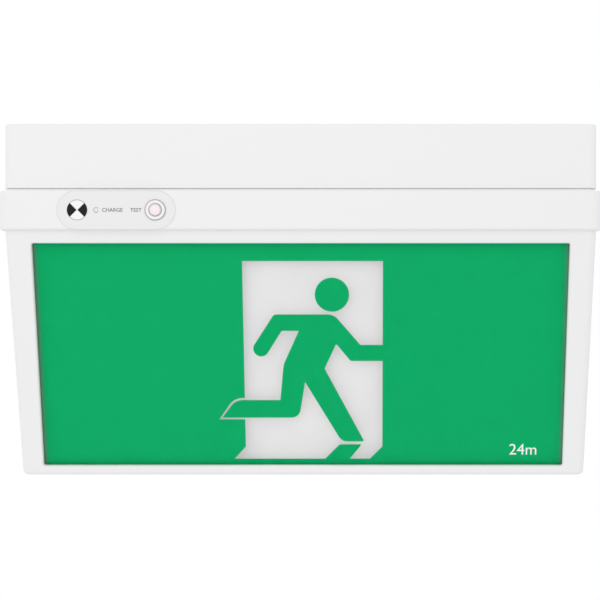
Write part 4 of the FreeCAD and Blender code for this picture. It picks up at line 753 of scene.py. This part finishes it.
# %% Bezel
CAP_GAP = 0.2
hole = CAP_RADIUS + CAP_GAP
bezel_wide = (bezel_high.x - bezel_low.x) / 2 / MM
bezel_tall = (bezel_high.y - bezel_low.y) / MM
crown = (bezel_wide - hole) / 2
section = [(hole, 0), (bezel_wide, 0)]
section += [(hole + crown + crown * math.cos(bend), bezel_tall * (0.35 + 0.65 * math.sin(bend) ** 0.5))
            for bend in np.linspace(0, np.pi, 15)]
points, faces = turned(section, 96, closed=True)
piece("button_bezel_ring", [(stand(points, (button_x, bezel_high.y, button_z), OUT), faces)],
      [bezel_abs], "cover", ("button_bezel",))

# %% [markdown]
# A soft white seal lies on the collar in the joint under the housing, just behind the faces, so the
# joint is a shallow groove and not a dark slot. It is a profile carried round a rounded oblong: each
# profile point moves outwards by its offset, and the corner radius grows by the same amount.

# %% Seal in the joint
def carried(profile, half_long, half_wide, radius, steps=12):
    """Carry (offset, height) pairs, in mm, round a rounded oblong with its corners cut as arcs."""
    quarter = np.linspace(0, np.pi / 2, steps)
    angle = (quarter[None] + np.arange(4)[:, None] * np.pi / 2).ravel()
    middle = np.repeat([[1, 1], [-1, 1], [-1, -1], [1, -1]], steps, axis=0)
    middle = middle * (half_long - radius, half_wide - radius)
    rows = [np.column_stack([middle[:, 0] + (radius + offset) * np.cos(angle),
                             middle[:, 1] + (radius + offset) * np.sin(angle),
                             np.full(len(angle), height)]) for offset, height in profile]
    faces = turned(profile, len(angle), closed=True)[1]
    return np.vstack(rows), faces


HOUSING_CORNER = 5.0
JOINT_GAP = 1.4
SEAL_BACK = 0.9
SEAL_WIDE = 1.3
SEAL_EASE = 0.15
housing_low, housing_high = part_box("gear_housing")
rim = housing_low.z / MM
foot, top = rim - JOINT_GAP + 0.02, rim - SEAL_EASE
section = [(-SEAL_WIDE, foot), (-SEAL_EASE, foot), (0.0, foot + 0.18), (0.0, top - 0.2),
           (-SEAL_EASE, top), (-SEAL_WIDE, top)]
points, faces = carried(section, housing_high.x / MM - SEAL_BACK, housing_high.y / MM - SEAL_BACK,
                        HOUSING_CORNER - SEAL_BACK)
piece("joint_seal", [(points * MM, faces)], [white_seal], "cover")

# %% [markdown]
# ## Print on the label and the legend
# Each word is a text curve made into a flat mesh. Its middle goes to the origin, and it is scaled
# until its height is that of the capitals. Its two flat coordinates then run along the line of
# reading and up the surface, and it lies on that surface by the thickness of a film of ink.

# %% Words as thin meshes
INK = 0.03 * MM


def ink(name, letters, height, centre, along, up, material, weight=0.0):
    """Letters as a mesh: capital height, centre, directions of reading and up, extra stroke."""
    curve = bpy.data.curves.new(name, "FONT")
    curve.body = letters
    curve.align_x = "CENTER"
    curve.align_y = "CENTER"
    curve.resolution_u = 4
    curve.offset = weight
    text = bpy.data.objects.new(name, curve)
    flat = bpy.data.meshes.new_from_object(text)
    bpy.data.objects.remove(text)
    points = np.empty(3 * len(flat.vertices))
    flat.vertices.foreach_get("co", points)
    points = points.reshape(-1, 3)
    points -= (points.max(0) + points.min(0)) / 2
    points *= height / np.ptp(points[:, 1])
    placed = np.array(centre) + points[:, :1] * np.array(along) + points[:, 1:2] * np.array(up)
    flat.vertices.foreach_set("co", placed.ravel())
    flat.update()
    made = bpy.data.objects.new(name, flat)
    bpy.context.scene.collection.objects.link(made)
    flat.materials.append(material)
    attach(made, "cover")
    print(name, "faces:", len(flat.polygons))


# %% [markdown]
# The small words on the label, CHARGE and TEST, only say what the light and the button do. Each
# stands beside its own, on the middle line of the label, in grey capitals of 2.2 mm. Their strokes
# are thickened a little, as ink spreads.

# %% CHARGE and TEST
SMALL_CAPITAL = 2.2 * MM
SMALL_STROKE = 0.012
TEST_BESIDE = 11.2 * MM
CHARGE_BESIDE = 9.4 * MM
label_low, label_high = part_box("control_label")
pipe_low, pipe_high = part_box("light_pipe")
pipe_x = (pipe_low.x + pipe_high.x) / 2
row = (label_low.z + label_high.z) / 2
label_face = label_low.y - INK
ink("word_test", "TEST", SMALL_CAPITAL, (button_x - TEST_BESIDE, label_face, row), RIGHT, UP,
    grey_print, SMALL_STROKE)
ink("word_charge", "CHARGE", SMALL_CAPITAL, (pipe_x + CHARGE_BESIDE, label_face, row), RIGHT, UP,
    grey_print, SMALL_STROKE)

# %% [markdown]
# A faint grey line along the label's edge is painted shade, the shade at the edge of the film. Thin
# rings are printed round the marker and, open on its right, round the charge light. A line of ink is
# a flat oblong section: the edge shade carries it round the label, and the rings turn it about their
# centre.

# %% Painted edge shade and printed rings
def printed_ring(name, centre, inner, outer, opening=0.0):
    """A ring of ink between two radii in mm, open on the right by an angle in radians."""
    thick = INK / MM
    points, faces = turned([(inner, 0), (outer, 0), (outer, thick), (inner, thick)], 96, closed=True)
    placed = stand(points, centre, OUT)
    if opening:
        angle = np.arctan2(placed[:, 2] - centre[2], placed[:, 0] - centre[0])
        kept = np.abs(angle) > opening / 2
        faces = [face for face in faces if kept[face].all()]
    return piece(name, [(placed, faces)], [dim_print], "cover")


# Painted shade: a faint grey strip follows the label's edge.
LABEL_SHADE_WIDE = 0.45
label_long, label_tall = (label_high.x - label_low.x) / 2 / MM, (label_high.z - label_low.z) / 2 / MM
section = [(-LABEL_SHADE_WIDE, 0), (0, 0), (0, INK / MM), (-LABEL_SHADE_WIDE, INK / MM)]
points, faces = carried(section, label_long, label_tall, label_tall)
label_middle = ((label_low.x + label_high.x) / 2, label_low.y, row)
piece("label_edge_shade", [(stand(points, label_middle, OUT), faces)], [edge_shade_grey], "cover")

MARKER_LINE = 0.4
CHARGE_INNER = 1.3
CHARGE_OUTER = 1.65
CHARGE_OPENING = 1.3
disc_low, disc_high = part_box("marker_disc")
disc_radius = (disc_high.x - disc_low.x) / 2 / MM
disc_centre = ((disc_low.x + disc_high.x) / 2, disc_low.y, row)
printed_ring("marker_edge", disc_centre, disc_radius - MARKER_LINE, disc_radius)
printed_ring("charge_ring", (pipe_x, label_low.y, row), CHARGE_INNER, CHARGE_OUTER, CHARGE_OPENING)

# %% [markdown]
# The mark 24m is the distance from which the legend can be read. The legend leans, so its letters
# need the slope. The largest face of the print that looks forward gives a point and a normal; the
# direction up the slope is at right angles to it.

# %% The distance mark on the legend
def front_face(name):
    """A point on the largest forward face of a CAD piece, and that face's normal."""
    mesh = nodes[name].data
    count = len(mesh.polygons)
    areas, normals, centres = np.empty(count), np.empty(3 * count), np.empty(3 * count)
    mesh.polygons.foreach_get("area", areas)
    mesh.polygons.foreach_get("normal", normals)
    mesh.polygons.foreach_get("center", centres)
    normals, centres = normals.reshape(-1, 3), centres.reshape(-1, 3)
    best = np.argmax(np.where(normals[:, 1] < -0.9, areas, 0))
    return centres[best], normals[best]


MARK_HIGH = 6.8 * MM
MARK_UP = 11.9 * MM
MARK_ALONG = 293.7 * MM
point, outward = front_face("legend_print")
slope_up = np.array([0, outward[2], -outward[1]])
foot = point + slope_up * (print_low.z - point[2]) / slope_up[2]
mark = foot + slope_up * MARK_UP + outward * INK * 0.7
mark[0] = print_low.x + MARK_ALONG
ink("distance_mark", "24m", MARK_HIGH, mark, RIGHT, slope_up, white_print)
print("legend leans", round(math.degrees(math.asin(-outward[2])), 2), "degrees")

# %% [markdown]
# The screws that hold the retaining strips are driven square to the leaning legend, so they need
# the same normal. The terminals' screws have a slot, and their heads are lower.

# %% The last screws
TERMINAL_HEAD = 1.0
screws("retainer_pan_screws", "retainer_screws", -outward, PAN_HEAD, "cover")
screws("terminal_slot_screws", "terminal_screws", UP, TERMINAL_HEAD, "housing", arms=1)

# %% [markdown]
# ## Camera, lamps and floor
# The sign is seen square on, from a little right of its middle. The camera doesn't turn towards
# the middle: its picture is shifted sideways instead, which keeps level edges level and upright
# edges upright.

# %% Camera
EYE = (36.8 * MM, -636 * MM, -102.7 * MM)
SENSOR = 36.0
LENS = 61.9
SIDE_SHIFT = -0.1062
camera = bpy.data.cameras.new("eye")
camera.sensor_width = SENSOR
camera.lens = LENS
camera.shift_x = SIDE_SHIFT
eye = bpy.data.objects.new("eye", camera)
eye.location = EYE
eye.rotation_euler = (math.radians(90), 0, 0)
bpy.context.scene.collection.objects.link(eye)
bpy.context.scene.camera = eye
print("field of view:", round(math.degrees(camera.angle), 1), "degrees")

# %% [markdown]
# One large soft lamp stands in front, up to the left, and most of the light comes from all round,
# as in a white room. The world is full white only to the camera and to rays that glass has let
# through. To everything else it is a little darker, so that white plastic doesn't burn out.

# %% Lamp and world
MIDDLE = (0.0, 0.0, -0.1)
LAMP_PLACE = (-0.4, -1.5, 0.5)
LAMP_WIDE = 1.4
LAMP_WATTS = 4.0
ROOM_LIGHT = 0.875

softbox = bpy.data.lights.new("front_softbox", "AREA")
softbox.energy = LAMP_WATTS
softbox.size = LAMP_WIDE
holder = bpy.data.objects.new("front_softbox", softbox)
holder.location = LAMP_PLACE
aim = Vector(np.array(MIDDLE) - np.array(LAMP_PLACE))
holder.rotation_euler = aim.to_track_quat("-Z", "Y").to_euler()
bpy.context.scene.collection.objects.link(holder)

world = bpy.data.worlds.new("white_room")
bpy.context.scene.world = world
world.use_nodes = True
tree = world.node_tree
tree.nodes.clear()
path = add(tree, "LightPath")
seen = add(tree, "Math", {"operation": "MAXIMUM"}, i0=path.outputs["Is Camera Ray"],
           i1=path.outputs["Is Transmission Ray"])
room = add(tree, "Background", {"Color": (1, 1, 1, 1), "Strength": ROOM_LIGHT})
white = add(tree, "Background", {"Color": (1, 1, 1, 1), "Strength": 1.0})
mix = add(tree, "MixShader", i0=seen.outputs[0], i1=room.outputs[0], i2=white.outputs[0])
add(tree, "OutputWorld", Surface=mix.outputs[0])
bpy.context.scene.view_settings.view_transform = "Standard"
print("lamp:", LAMP_WATTS, "W, room:", ROOM_LIGHT)

# %% [markdown]
# The floor is a pale disc well below the sign. It takes shadows, and what the camera sees of it is
# nearly white by itself, so it gives the object no more light than a pale floor would.

# %% Floor
FLOOR_DROP = 1.2
FLOOR_RADIUS = 1.3
FLOOR_GLOW = 0.97
turns = np.linspace(0, 2 * np.pi, 96, endpoint=False)
disc = np.stack([FLOOR_RADIUS * np.cos(turns), FLOOR_RADIUS * np.sin(turns),
                 np.full_like(turns, -FLOOR_DROP)], axis=1)
floor_mesh = bpy.data.meshes.new("floor")
floor_mesh.from_pydata(disc.tolist(), [], [list(range(len(disc)))])
floor = bpy.data.objects.new("floor", floor_mesh)
bpy.context.scene.collection.objects.link(floor)
pale_floor, tree, shader, where = surface("pale_floor", "F4F4F4", 0.8)
path = add(tree, "LightPath")
glow = add(tree, "Emission", {"Strength": 1.0})
seen = add(tree, "Math", {"operation": "MULTIPLY", 1: FLOOR_GLOW}, i0=path.outputs["Is Camera Ray"])
mix = add(tree, "MixShader", i0=seen.outputs[0], i1=shader.outputs[0], i2=glow.outputs[0])
output = next(node for node in tree.nodes if node.type == "OUTPUT_MATERIAL")
tree.links.new(mix.outputs[0], output.inputs["Surface"])
floor_mesh.materials.append(pale_floor)
print("floor", FLOOR_DROP, "m below the ceiling face")
